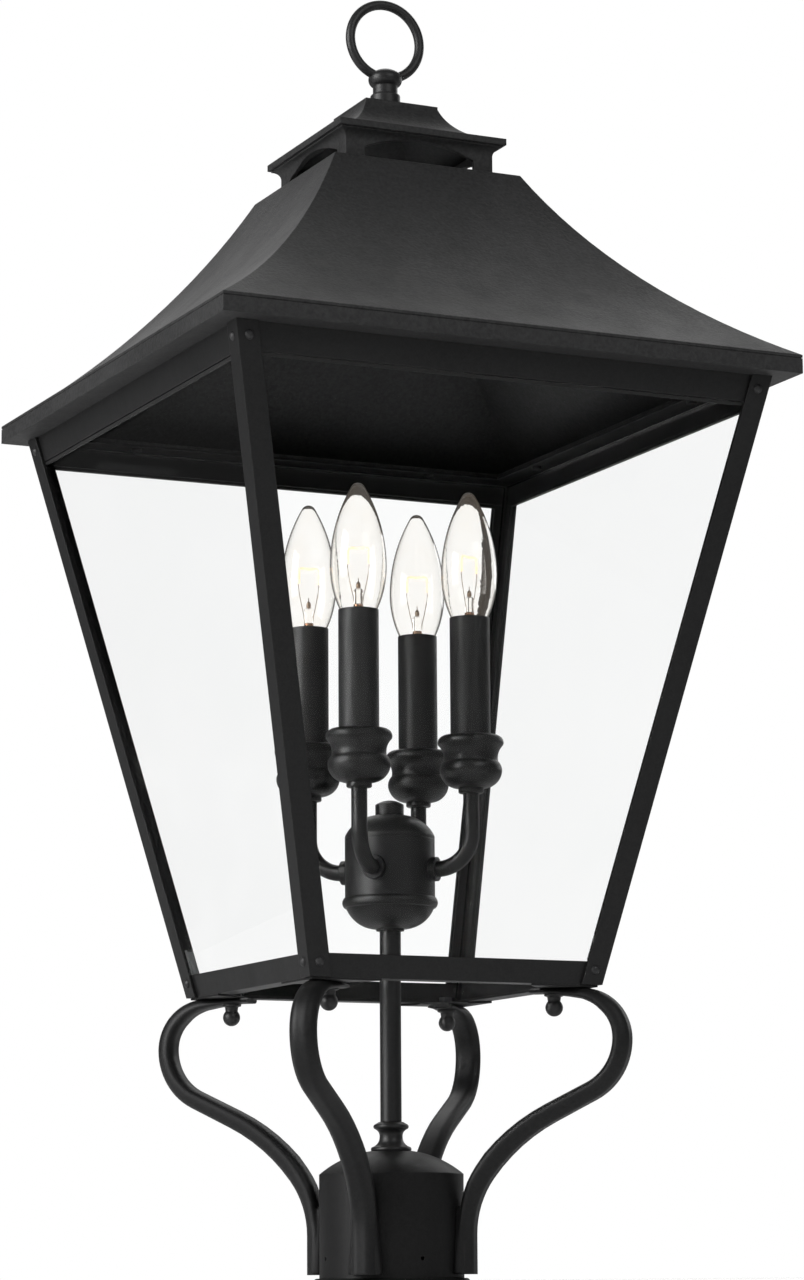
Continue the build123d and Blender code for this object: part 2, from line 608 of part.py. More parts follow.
def roof_shell():
    outer = roof_body(EAVE_HALF, CAGE_TOP_Z, EAVE_TOP_Z, SHOULDER_HALF, ROOF_TOP_Z)
    t = ROOF_THICK
    inner = roof_body(EAVE_HALF - t, CAGE_TOP_Z + t, EAVE_TOP_Z - 0.7 * t, SHOULDER_HALF - t, ROOF_TOP_Z - t)
    shell = outer - inner
    shell -= square(EAVE_HALF - SOFFIT_WIDTH, CAGE_TOP_Z - t, CAGE_TOP_Z + 2 * t)
    shell -= square(cupola_mouth(), ROOF_TOP_Z - 2 * t, ROOF_TOP_Z + t)
    groove_z = EAVE_TOP_Z - 1.5
    shell -= square(EAVE_HALF + 1, groove_z - EAVE_GROOVE, groove_z) \
        - square(EAVE_HALF - EAVE_GROOVE, groove_z - 2, groove_z + 2)
    for a in SIDES.values():
        for x in eave_screw_places():
            spot = Rot(0, 0, a) * Pos(x, -eave_screw_line(), CAGE_TOP_Z)
            shell -= spot * Cylinder(RIVET_RADIUS + ROD_FIT, 8)
    for x, y in cupola_screw_places():
        shell -= Pos(x, y, ROOF_TOP_Z) * Cylinder(RIVET_RADIUS + ROD_FIT, 8)
    return shell


def cupola_mouth():
    """Half width of the opening through the roof and the cupola's base flange."""
    return CUPOLA_HALF - CUPOLA_WALL - 8


def cupola_screw_places():
    c = cupola_mouth() + 4
    return [(c, c), (-c, c), (-c, -c), (c, -c)]


def cupola():
    """Square vent housing: base flange, walls with an arched vent each and a cove under the cap."""
    high = CUPOLA_TOP_Z
    cove_low = high - COVE_RADIUS - 1.2
    flare = CUPOLA_HALF + COVE_RADIUS - 0.4
    outline = [Line((0, ROOF_TOP_Z), (CUPOLA_HALF, ROOF_TOP_Z)),
               Line((CUPOLA_HALF, ROOF_TOP_Z), (CUPOLA_HALF, cove_low)),
               ThreePointArc((CUPOLA_HALF, cove_low), (CUPOLA_HALF + 1.4, cove_low + 3.4), (flare, high - 1)),
               Line((flare, high - 1), (flare, high)), Line((flare, high), (0, high)),
               Line((0, high), (0, ROOF_TOP_Z))]
    walls = four_sided(outline, 2 * CAP_HALF)
    walls -= square(CUPOLA_HALF - CUPOLA_WALL, ROOF_TOP_Z + CUPOLA_FLOOR, high + 1)
    walls -= square(cupola_mouth(), ROOF_TOP_Z - 1, ROOF_TOP_Z + 3)
    spring = ROOF_TOP_Z + VENT_SPRING
    sill = ROOF_TOP_Z + CUPOLA_FLOOR
    arch = make_face([Line((-VENT_HALF, sill), (VENT_HALF, sill)),
                      Line((VENT_HALF, sill), (VENT_HALF, spring)),
                      ThreePointArc((VENT_HALF, spring), (0, spring + VENT_RISE), (-VENT_HALF, spring)),
                      Line((-VENT_HALF, spring), (-VENT_HALF, sill))])
    tunnel = extrude(Plane.XZ * arch, 2 * CAP_HALF, both=True)
    walls -= tunnel
    walls -= Rot(0, 0, 90) * tunnel
    for x, y in cupola_screw_places():
        walls -= Pos(x, y, ROOF_TOP_Z) * Cylinder(RIVET_RADIUS + ROD_FIT, 8)
    return walls


def cupola_screws():
    floor = ROOF_TOP_Z + CUPOLA_FLOOR
    shank = ring(RIVET_RADIUS, 0, ROOF_TOP_Z - ROOF_THICK - 2, floor + 1)
    screw = ring(1.9 * RIVET_RADIUS, 0, floor, floor + 2) + shank
    return [Pos(x, y, 0) * screw for x, y in cupola_screw_places()]


def cap_outline(inset, drop):
    """Half outline of the cap's outside, or of its hollow when inset and dropped."""
    low = CUPOLA_TOP_Z
    edge = CUPOLA_TOP_Z + CAP_EDGE - drop
    foot = edge + PLINTH_BASE
    half, plinth = CAP_HALF - inset, PLINTH_HALF - inset
    waist = (half - 0.685 * (half - plinth), edge + 0.38 * PLINTH_BASE)
    return half, plinth, low, edge, foot, waist


def vent_cap():
    """Four-sided cap: level edge, concave sides and a two-step square plinth."""
    half, plinth, low, edge, foot, waist = cap_outline(0, 0)
    step = foot + PLINTH_STEP
    narrow = plinth - PLINTH_STEP_IN
    outline = [Line((0, low), (half, low)), Line((half, low), (half, edge)),
               ThreePointArc((half, edge), waist, (plinth, foot)), Line((plinth, foot), (plinth, step)),
               Line((plinth, step), (narrow, step)), Line((narrow, step), (narrow, CAP_TOP_Z)),
               Line((narrow, CAP_TOP_Z), (0, CAP_TOP_Z)), Line((0, CAP_TOP_Z), (0, low))]
    solid = four_sided(outline, 2 * CAP_HALF)
    half, plinth, low, edge, foot, waist = cap_outline(CAP_WALL + 3.6, CAP_WALL)
    hollow = [Line((0, low - 1), (half, low - 1)), Line((half, low - 1), (half, edge)),
              ThreePointArc((half, edge), waist, (plinth, foot)), Line((plinth, foot), (0, foot)),
              Line((0, foot), (0, low - 1))]
    cap = solid - four_sided(hollow, 2 * CAP_HALF)
    return cap - ring(FINIAL_ROD_RADIUS + ROD_FIT, 0, foot - 1, CAP_TOP_Z + 1)


def cap_hollow_top():
    return CUPOLA_TOP_Z + CAP_EDGE - CAP_WALL + PLINTH_BASE


def finial_ball_z():
    """Height of the finial ball's middle."""
    return CAP_TOP_Z + FINIAL_NECK_HEIGHT + 3.6 + FINIAL_BALL_HALF_HEIGHT


def ring_z():
    return finial_ball_z() + RING_RADIUS + 0.9


def finial_ball():
    """Turned neck, waist and flattened ball, with a blind hole below and a hole for the ring."""
    base, neck = CAP_TOP_Z, CAP_TOP_Z + FINIAL_NECK_HEIGHT
    ball = finial_ball_z()
    low, high = ball - FINIAL_BALL_HALF_HEIGHT, ball + FINIAL_BALL_HALF_HEIGHT
    waist, r, neck_r = FINIAL_WAIST_RADIUS, FINIAL_BALL_RADIUS, FINIAL_NECK_RADIUS
    bulge = sqrt(1 - ((waist + 0.2) / r) ** 2) * FINIAL_BALL_HALF_HEIGHT
    outline = [Line((0, base), (neck_r, base)), Line((neck_r, base), (neck_r, neck - 1.2)),
               ThreePointArc((neck_r, neck - 1.2), (neck_r - 0.5, neck - 0.2), (waist, neck)),
               Line((waist, neck), (waist, low + 1.6)),
               ThreePointArc((waist, low + 1.6), (r, ball), (waist, ball + bulge)),
               dome(waist, ball + bulge, high),
               Line((0, high), (0, base))]
    solid = turned(outline)
    solid -= ring(FINIAL_ROD_RADIUS + ROD_FIT, 0, base - 1, neck - 1)
    return solid - Pos(0, 0, ring_z()) * Rot(90, 0, 0) * Torus(RING_RADIUS, RING_WIRE_RADIUS + ROD_FIT)


def finial_ring():
    return Pos(0, 0, ring_z()) * Rot(90, 0, 0) * Torus(RING_RADIUS, RING_WIRE_RADIUS)


def finial_rod():
    return ring(FINIAL_ROD_RADIUS, 0, cap_hollow_top() - 9, CAP_TOP_Z + FINIAL_NECK_HEIGHT - 1.5)


def finial_nut():
    top = cap_hollow_top()
    return hex_nut(FINIAL_ROD_RADIUS + 2.8, FINIAL_ROD_RADIUS + ROD_FIT, top - 5, top)


# ---------------------------------------------------------------- stem and cluster body
def stem_collar():
    """Turned collar standing on the dome: base flange, waist and top flange."""
    low, high = DOME_TOP_Z, COLLAR_TOP_Z
    bore = ROD_RADIUS + ROD_FIT
    base, waist, flange = (STEM_RADIUS + r for r in (COLLAR_BASE, COLLAR_WAIST, COLLAR_FLANGE))
    outline = [Line((bore, low), (base - 0.3, low)),
               ThreePointArc((base - 0.3, low), (base, low + 1.1), (base - 0.6, low + 2.2)),
               ThreePointArc((base - 0.6, low + 2.2), (waist + 1.3, low + 4.2), (waist, low + 8.2)),
               ThreePointArc((waist, low + 8.2), (waist + 0.8, high - 5.4), (flange - 0.9, high - 4)),
               ThreePointArc((flange - 0.9, high - 4), (flange, high - 2.6), (flange - 0.7, high - 1.4)),
               Line((flange - 0.7, high - 1.4), (waist + 0.4, high)), Line((waist + 0.4, high), (bore, high)),
               Line((bore, high), (bore, low))]
    return turned(outline)


def stem_tube():
    return ring(STEM_RADIUS, STEM_RADIUS - STEM_WALL, COLLAR_TOP_Z, STEM_TOP_Z)


def cup_floor():
    return STEM_TOP_Z + 2.2


def rod_top():
    return LID_TOP_Z + KNOB_HEIGHT - 3


def threaded_rod():
    """Hollow rod from under the dome to the top knob."""
    return ring(ROD_RADIUS, ROD_BORE, DOME_TOP_Z - FITTER_WALL - NUT_THICK - 3, rod_top())


def lock_nuts():
    """Hex nuts: one under the dome, one on the cup's floor and one on each arm inside the cup."""
    under = DOME_TOP_Z - FITTER_WALL
    bore = ROD_RADIUS + ROD_FIT
    nuts = [hex_nut(ROD_NUT_RADIUS, bore, under - NUT_THICK, under),
            hex_nut(ROD_NUT_RADIUS, bore, cup_floor(), cup_floor() + NUT_THICK)]
    inside = CUP_RADIUS - CUP_WALL
    seat = sqrt(inside ** 2 - ARM_NUT_RADIUS ** 2) - 0.1
    arm_nut = hex_nut(ARM_NUT_RADIUS, ARM_RADIUS + ROD_FIT, seat - NUT_THICK, seat)
    nuts += [Rot(0, 0, DIAGONAL + a) * Pos(0, 0, ARM_Z) * Rot(0, 90, 0) * arm_nut for a in QUARTERS.values()]
    return nuts


def cluster_cup():
    """Spun cup: bowl, bead band and straight wall, open at the top."""
    base, floor, top = STEM_TOP_Z, cup_floor(), CUP_TOP_Z
    band_low = base + CUP_BOWL_RISE
    band_high = band_low + CUP_BAND_HEIGHT
    bore, foot, floor_r = ROD_RADIUS + ROD_FIT, ROD_RADIUS + 3.1, ROD_RADIUS + 4.4
    inside = CUP_RADIUS - CUP_WALL
    band, bead = CUP_RADIUS + CUP_BEAD, CUP_RADIUS + CUP_BEAD - 1.2
    bowl = CUP_RADIUS - 0.6
    outline = [Line((bore, base), (foot, base)), Line((foot, base), (foot, base + 1.2)),
               ThreePointArc((foot, base + 1.2), (0.76 * CUP_RADIUS, base + 5.4), (bowl, band_low)),
               Line((bowl, band_low), (bead, band_low)),
               ThreePointArc((bead, band_low), (band, (band_low + band_high) / 2), (bead, band_high)),
               Line((bead, band_high), (CUP_RADIUS, band_high)),
               Line((CUP_RADIUS, band_high), (CUP_RADIUS, top)),
               Line((CUP_RADIUS, top), (inside, top)), Line((inside, top), (inside, band_low)),
               ThreePointArc((inside, band_low), (0.72 * inside, base + 6.6), (floor_r, floor)),
               Line((floor_r, floor), (bore, floor)), Line((bore, floor), (bore, base))]
    cup = turned(outline)
    hole = Pos(CUP_RADIUS, 0, ARM_Z) * Rot(0, 90, 0) * Cylinder(ARM_RADIUS + ROD_FIT, 16)
    for a in QUARTERS.values():
        cup -= Rot(0, 0, DIAGONAL + a) * hole
    return cup


def body_lid():
    """Domed lid with a spigot inside the cup's rim."""
    low, top, r = CUP_TOP_Z, LID_TOP_Z, CUP_RADIUS
    spigot = CUP_RADIUS - CUP_WALL - 0.1
    bore, flat = ROD_RADIUS + ROD_FIT, ROD_RADIUS + 4.4
    skirt, under = low - LID_SPIGOT, top - LID_WALL
    outline = [Line((spigot, low), (r, low)), Line((r, low), (r, low + 1.9)),
               ThreePointArc((r, low + 1.9), (0.78 * r, low + 9.4), (flat, top)),
               Line((flat, top), (bore, top)),
               Line((bore, top), (bore, under)), Line((bore, under), (flat - 0.4, under)),
               ThreePointArc((flat - 0.4, under), (0.72 * r, low + 7.9), (spigot - 1.4, low + 1.4)),
               Line((spigot - 1.4, low + 1.4), (spigot - 1.4, skirt)),
               Line((spigot - 1.4, skirt), (spigot, skirt)), Line((spigot, skirt), (spigot, low))]
    return turned(outline)


def body_knob():
    """Domed knob nut on the rod's top end."""
    low, high, r = LID_TOP_Z, LID_TOP_Z + KNOB_HEIGHT, KNOB_RADIUS
    outline = [Line((0, low), (r, low)), Line((r, low), (r, high - 2.6)),
               dome(r, high - 2.6, high), Line((0, high), (0, low))]
    return turned(outline) - ring(ROD_RADIUS + ROD_FIT, 0, low - 1, rod_top() + 0.2)


# ---------------------------------------------------------------- candles
def candle_arm():
    """Bent tube along +X: out through the cup's wall, then up to the drip cup."""
    start = CUP_RADIUS - CUP_WALL - NUT_THICK - 3
    run = ARM_REACH - ARM_BEND
    bend_middle = ARM_BEND * sin(radians(45))
    path = Wire([Edge.make_line((start, 0, ARM_Z), (run, 0, ARM_Z)),
                 Edge.make_three_point_arc((run, 0, ARM_Z),
                                           (run + bend_middle, 0, ARM_Z + ARM_BEND - bend_middle),
                                           (ARM_REACH, 0, ARM_Z + ARM_BEND)),
                 Edge.make_line((ARM_REACH, 0, ARM_Z + ARM_BEND), (ARM_REACH, 0, ARM_TOP_Z))])
    section = Plane(origin=(start, 0, ARM_Z), z_dir=(1, 0, 0))
    outer = sweep(section * Circle(ARM_RADIUS), path)
    inner = sweep(section * Circle(ARM_RADIUS - ARM_WALL), path)
    return outer - inner


def arm_collars():
    """Round collar nuts outside the cup, one on each arm, hollowed to sit on its wall."""
    collar = Pos(CUP_RADIUS + 0.8, 0, ARM_Z) * Rot(0, 90, 0) * Cylinder(ARM_NUT_RADIUS, 5)
    collar -= Pos(0, 0, ARM_Z) * Cylinder(CUP_RADIUS, 4 * ARM_NUT_RADIUS)
    collar -= Pos(CUP_RADIUS, 0, ARM_Z) * Rot(0, 90, 0) * Cylinder(ARM_RADIUS + ROD_FIT, 16)
    return [Rot(0, 0, DIAGONAL + a) * collar for a in QUARTERS.values()]


def drip_cup():
    """Turned candle cup on the arm's end, at the origin's axis."""
    low = DRIP_FLOOR_Z - DRIP_CUP_FLOOR
    top = low + DRIP_CUP_HEIGHT
    r, bore, well = DRIP_CUP_RADIUS, ARM_RADIUS + ROD_FIT, SLEEVE_RADIUS + 0.3
    step, neck = ARM_RADIUS + 2.2, ARM_RADIUS + 4.0
    outline = [Line((bore, low), (step, low)), Line((step, low), (step + 0.5, low + 0.5)),
               Line((step + 0.5, low + 0.5), (step + 0.5, low + 2.8)),
               Line((step + 0.5, low + 2.8), (neck, low + 3.0)),
               ThreePointArc((neck, low + 3.0), (r - 3.4, low + 6.8), (r - 1, low + 13.4)),
               ThreePointArc((r - 1, low + 13.4), (r - 1.6, low + 16.0), (r - 2.7, low + 17.8)),
               Line((r - 2.7, low + 17.8), (r - 3.2, low + 18.2)),
               ThreePointArc((r - 3.2, low + 18.2), (r - 2.9, low + 23.6), (r - 0.2, low + 28.0)),
               ThreePointArc((r - 0.2, low + 28.0), (r, low + 29.8), (r - 1.6, top - 0.6)),
               Line((r - 1.6, top - 0.6), (r - 2.6, top)), Line((r - 2.6, top), (r - 4.4, top)),
               Line((r - 4.4, top), (r - 5.0, low + 16)),
               ThreePointArc((r - 5.0, low + 16), (r - 5.8, low + 9.6), (well, DRIP_FLOOR_Z)),
               Line((well, DRIP_FLOOR_Z), (bore, DRIP_FLOOR_Z)), Line((bore, DRIP_FLOOR_Z), (bore, low))]
    return turned(outline)


def candle_sleeve():
    return ring(SLEEVE_RADIUS, SLEEVE_RADIUS - SLEEVE_WALL, DRIP_FLOOR_Z, SLEEVE_TOP_Z)


def lamp_socket():
    """Candle socket: a threaded stand on the arm's end and a body with the bulb's well."""
    well = BULB_BASE_RADIUS + BULB_FIT
    shelf = SOCKET_TOP_Z - SOCKET_HEIGHT
    stand = ring(ARM_RADIUS + 1.8, 0, DRIP_FLOOR_Z + 0.2, shelf + 1)
    socket = stand + ring(SOCKET_RADIUS, 0, shelf, SOCKET_TOP_Z)
    socket -= ring(ARM_RADIUS + ROD_FIT, 0, DRIP_FLOOR_Z - 1, ARM_TOP_Z + 0.2)
    return socket - ring(well, 0, SOCKET_TOP_Z - BULB_BASE_LENGTH - 0.4, SOCKET_TOP_Z + 1)


def bulb_base():
    """Screw base with a contact button below."""
    top = SOCKET_TOP_Z + BULB_COLLAR
    low = top - BULB_BASE_LENGTH + 1.4
    r = BULB_BASE_RADIUS
    outline = [Line((0, low - 1.4), (2, low - 1.4)), Line((2, low - 1.4), (2.6, low)),
               Line((2.6, low), (4.2, low)),
               Line((4.2, low), (r, low + 3)), Line((r, low + 3), (r, top)), Line((r, top), (0, top)),
               Line((0, top), (0, low - 1.4))]
    return turned(outline)


def bulb_glass():
    """Clear torpedo bulb, open inside and closed at the neck."""
    neck_z = SOCKET_TOP_Z + BULB_COLLAR
    outer = bulb_outline(BULB_NECK_RADIUS, neck_z, BULB_RADIUS, 0)
    inner = bulb_outline(BULB_NECK_RADIUS - BULB_WALL, neck_z + 1.0, BULB_RADIUS - BULB_WALL, BULB_WALL)
    return turned(outer) - turned(inner)


def bulb_outline(neck_r, neck_z, belly_r, wall):
    """Half outline: two arcs that meet upright at the belly, and a rounded tip."""
    neck_top = SOCKET_TOP_Z + BULB_NECK
    belly_z = neck_top + BULB_BELLY
    shoulder_z = belly_z + BULB_TAPER - 0.3 * wall
    tip_r = BULB_TIP_RADIUS - 0.6 * wall
    lower = upright_arc((neck_r, neck_top), (belly_r, belly_z))
    upper = upright_arc((tip_r, shoulder_z), (belly_r, belly_z))
    tip = shoulder_z + BULB_TIP_RISE - 0.7 * wall
    return [Line((0, neck_z), (neck_r, neck_z)), Line((neck_r, neck_z), (neck_r, neck_top)), lower, upper,
            dome(tip_r, shoulder_z, tip), Line((0, tip), (0, neck_z))]


def upright_arc(end, belly):
    """Arc from end to belly that is upright at the belly."""
    dx, dz = belly[0] - end[0], belly[1] - end[1]
    radius = (dx * dx + dz * dz) / (2 * dx)
    half = asin(dz / radius) / 2
    middle = (belly[0] - radius + radius * cos(half), belly[1] - radius * sin(half))
    return ThreePointArc(end, middle, belly)


# ---------------------------------------------------------------- every node
def build():
    os.makedirs("parts", exist_ok=True)
    save("post_fitter", post_fitter())
    save("foot_screws", Compound(children=foot_screws()))
    save("corner_gussets", Compound(children=corner_gussets()))
    save("bracket_bolts", Compound(children=bracket_bolts()))
    save("ball_nuts", Compound(children=ball_nuts()))
    save("eave_screws", Compound(children=eave_screws()))
    save("cage_rivets", Compound(children=cage_rivets()))
    save("glazing_strips", Compound(children=glazing_strips()))
    save("setting_blocks", Compound(children=setting_blocks()))
    save("roof_shell", roof_shell())
    save("cupola", cupola())
    save("cupola_screws", Compound(children=cupola_screws()))
    save("vent_cap", vent_cap())
    save("finial_ball", finial_ball())
    save("finial_ring", finial_ring())
    save("finial_rod", finial_rod())
    save("finial_nut", finial_nut())
    save("stem_collar", stem_collar())
    save("stem_tube", stem_tube())
    save("threaded_rod", threaded_rod())
    save("lock_nuts", Compound(children=lock_nuts()))
    save("cluster_cup", cluster_cup())
    save("body_lid", body_lid())
    save("body_knob", body_knob())
    save("arm_collars", Compound(children=arm_collars()))

    bracket, post = scroll_bracket(), corner_post()
    arm, cup, sleeve, socket, base, glass = (candle_arm(), drip_cup(), candle_sleeve(), lamp_socket(),
                                             bulb_base(), bulb_glass())
    cups, sleeves, sockets = [], [], []
    for corner, angle in QUARTERS.items():
        turn = Rot(0, 0, DIAGONAL + angle)
        candle = turn * Pos(ARM_REACH, 0, 0)
        save("scroll_bracket_" + corner, turn * bracket)
        save("corner_post_" + corner, Rot(0, 0, angle) * post)
        save("candle_arm_" + corner, turn * arm)
        save("bulb_base_" + corner, candle * base)
        save("bulb_glass_" + corner, candle * glass)
        cups.append(candle * cup)
        sleeves.append(candle * sleeve)
        sockets.append(candle * socket)
    save("drip_cups", Compound(children=cups))
    save("candle_sleeves", Compound(children=sleeves))
    save("lamp_sockets", Compound(children=sockets))

    low_rail, high_rail, panel = bottom_rail(), top_rail(), glass_panel()
    for side, angle in SIDES.items():
        save("bottom_rail_" + side, Rot(0, 0, angle) * low_rail)
        save("top_rail_" + side, Rot(0, 0, angle) * high_rail)
        save("glass_panel_" + side, Rot(0, 0, angle) * panel)


build()
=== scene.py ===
import json
from math import atan2, cos, pi, radians, sin

import bpy
from mathutils import Matrix, Vector


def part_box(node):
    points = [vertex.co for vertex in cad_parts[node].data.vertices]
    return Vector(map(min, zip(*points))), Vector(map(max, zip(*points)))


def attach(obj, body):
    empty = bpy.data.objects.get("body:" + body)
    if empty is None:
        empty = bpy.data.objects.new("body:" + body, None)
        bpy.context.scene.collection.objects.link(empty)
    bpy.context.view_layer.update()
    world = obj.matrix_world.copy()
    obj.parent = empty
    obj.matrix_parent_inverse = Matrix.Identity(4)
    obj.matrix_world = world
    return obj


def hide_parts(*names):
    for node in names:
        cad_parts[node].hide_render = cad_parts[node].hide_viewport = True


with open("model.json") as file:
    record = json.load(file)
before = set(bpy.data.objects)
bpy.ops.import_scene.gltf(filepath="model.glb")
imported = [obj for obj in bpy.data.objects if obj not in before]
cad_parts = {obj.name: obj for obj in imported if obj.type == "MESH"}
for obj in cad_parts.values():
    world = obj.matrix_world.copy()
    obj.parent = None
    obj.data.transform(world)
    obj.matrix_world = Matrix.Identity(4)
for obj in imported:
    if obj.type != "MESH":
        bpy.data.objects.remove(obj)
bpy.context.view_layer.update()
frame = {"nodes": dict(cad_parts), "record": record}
MM = 0.001
CORNERS = {"front_right": -45, "back_right": 45, "back_left": 135, "front_left": 225}   # turn about Z


# ---------------------------------------------------------------- shader helpers
FLOAT, VECTOR = "NodeSocketFloat", "NodeSocketVector"
MIX_MASK, MIX_A, MIX_B, MIX_RESULT = 0, 6, 7, 2         # a Mix node's sockets when it mixes colours


def new_group(name, inputs, outputs):
    """Shader node group with float inputs; returns it with its two ends."""
    group = bpy.data.node_groups.new(name, "ShaderNodeTree")
    for label, value in inputs:
        socket = group.interface.new_socket(name=label, in_out="INPUT", socket_type=FLOAT)
        socket.default_value = value
    for label, kind in outputs:
        group.interface.new_socket(name=label, in_out="OUTPUT", socket_type=kind)
    return group, group.nodes.new("NodeGroupInput"), group.nodes.new("NodeGroupOutput")


def place_group(tree, group, **values):
    node = tree.nodes.new("ShaderNodeGroup")
    node.node_tree = group
    for label, value in values.items():
        node.inputs[label.replace("_", " ")].default_value = value
    return node


def plug(tree, value, socket):
    """Links an output to a socket, or writes a number or a colour into it."""
    if isinstance(value, bpy.types.NodeSocket):
        tree.links.new(value, socket)
    elif isinstance(value, tuple):
        socket.default_value = (*value, 1)
    else:
        socket.default_value = value


def own_place(tree):
    return tree.nodes.new("ShaderNodeTexCoord").outputs["Object"]


def noise(tree, coords, per_metre, detail, rough):
    node = tree.nodes.new("ShaderNodeTexNoise")
    plug(tree, per_metre, node.inputs["Scale"])
    node.inputs["Detail"].default_value = detail
    node.inputs["Roughness"].default_value = rough
    tree.links.new(coords, node.inputs["Vector"])
    return node.outputs["Fac"]


def remap(tree, value, low, high, to_low=0.0, to_high=1.0):
    node = tree.nodes.new("ShaderNodeMapRange")
    node.inputs["From Min"].default_value = low
    node.inputs["From Max"].default_value = high
    node.inputs["To Min"].default_value = to_low
    node.inputs["To Max"].default_value = to_high
    tree.links.new(value, node.inputs["Value"])
    return node.outputs["Result"]


def math_node(tree, operation, a, b):
    node = tree.nodes.new("ShaderNodeMath")
    node.operation = operation
    plug(tree, a, node.inputs[0])
    plug(tree, b, node.inputs[1])
    return node.outputs[0]


def times(tree, a, b):
    return math_node(tree, "MULTIPLY", a, b)


def blend_colours(tree, mask, a, b):
    node = tree.nodes.new("ShaderNodeMix")
    node.data_type = "RGBA"
    tree.links.new(mask, node.inputs[MIX_MASK])
    plug(tree, a, node.inputs[MIX_A])
    plug(tree, b, node.inputs[MIX_B])
    return node.outputs[MIX_RESULT]


def brighter(colour, share):
    return tuple(min(1, share * c) for c in colour)


# ---------------------------------------------------------------- effects shared by the finishes
COARSE_GRAINS_PER_METRE, FINE_SHARE, COARSE_SHARE = 320.0, 0.65, 0.35
EDGE_SHARP = (0.02, 0.16)                   # turn of the rounded normal, from plain to full edge
EDGE_BREAKS_PER_METRE = 140.0
STREAKS_PER_METRE = (60, 60, 7)             # drawn out along the upright
DUST_FACING = (0.55, 1.0)                   # upward part of the normal, from clean to full dust
DUST_CLOUDS_PER_METRE = 55.0
DOWNWARD_FACING, DOWNWARD_GRAIN = (-0.2, 0.0), (0.2, 1.0)


def make_sand_grain():
    """Fine sandy texture of a baked powder coat."""
    tree, start, end = new_group("sand_grain", [("Grains per metre", 900.0)],
                                 [("Height", FLOAT), ("Tone", FLOAT)])
    place = own_place(tree)
    fine = noise(tree, place, start.outputs["Grains per metre"], detail=3.0, rough=0.62)
    coarse = noise(tree, place, COARSE_GRAINS_PER_METRE, detail=2.0, rough=0.5)
    height = math_node(tree, "ADD", times(tree, fine, FINE_SHARE), times(tree, coarse, COARSE_SHARE))
    tree.links.new(height, end.inputs["Height"])
    tree.links.new(remap(tree, height, 0.38, 0.62), end.inputs["Tone"])
    return tree


def make_edge_catch():
    """Rounded normal near edges, and a broken mask of the edges themselves."""
    tree, start, end = new_group("edge_catch", [("Radius", 0.001), ("Reach", 0.5)],
                                 [("Mask", FLOAT), ("Normal", VECTOR)])
    bevel = tree.nodes.new("ShaderNodeBevel")
    bevel.samples = 4
    tree.links.new(start.outputs["Radius"], bevel.inputs["Radius"])
    flat = tree.nodes.new("ShaderNodeNewGeometry").outputs["Normal"]
    turn = tree.nodes.new("ShaderNodeVectorMath")
    turn.operation = "DOT_PRODUCT"
    tree.links.new(bevel.outputs["Normal"], turn.inputs[0])
    tree.links.new(flat, turn.inputs[1])
    sharp = remap(tree, math_node(tree, "SUBTRACT", 1.0, turn.outputs["Value"]), *EDGE_SHARP)
    breaks = remap(tree, noise(tree, own_place(tree), EDGE_BREAKS_PER_METRE, detail=4.0, rough=0.6),
                   0.36, 0.68)
    mask = times(tree, times(tree, sharp, breaks), start.outputs["Reach"])
    tree.links.new(mask, end.inputs["Mask"])
    tree.links.new(bevel.outputs["Normal"], end.inputs["Normal"])
    return tree


def make_handling():
    """Broad soft patches where a surface has been touched, and upright streaks of rain."""
    tree, start, end = new_group("handling", [("Patches per metre", 14.0)],
                                 [("Patch", FLOAT), ("Streak", FLOAT)])
    place = own_place(tree)
    broad = noise(tree, place, start.outputs["Patches per metre"], detail=4.0, rough=0.58)
    tall = tree.nodes.new("ShaderNodeMapping")
    tall.inputs["Scale"].default_value = STREAKS_PER_METRE
    tree.links.new(place, tall.inputs["Vector"])
    run = noise(tree, tall.outputs["Vector"], 1.0, detail=3.0, rough=0.55)
    tree.links.new(remap(tree, broad, 0.34, 0.66), end.inputs["Patch"])
    tree.links.new(remap(tree, run, 0.4, 0.72), end.inputs["Streak"])
    return tree


def make_settled_dust():
    """Thin dust on faces that look up, and the share of the grain left on faces that look down."""
    tree, start, end = new_group("settled_dust", [("Amount", 0.3)],
                                 [("Mask", FLOAT), ("Outside", FLOAT)])
    facing = tree.nodes.new("ShaderNodeSeparateXYZ")
    tree.links.new(tree.nodes.new("ShaderNodeNewGeometry").outputs["Normal"], facing.inputs[0])
    up = remap(tree, facing.outputs["Z"], *DUST_FACING)
    grain = remap(tree, facing.outputs["Z"], *DOWNWARD_FACING, *DOWNWARD_GRAIN)
    tree.links.new(grain, end.inputs["Outside"])
    cloud = remap(tree, noise(tree, own_place(tree), DUST_CLOUDS_PER_METRE, detail=5.0, rough=0.65),
                  0.35, 0.75)
    mask = times(tree, times(tree, up, cloud), start.outputs["Amount"])
    tree.links.new(mask, end.inputs["Mask"])
    return tree


SAND_GRAIN, EDGE_CATCH = make_sand_grain(), make_edge_catch()
HANDLING, SETTLED_DUST = make_handling(), make_settled_dust()


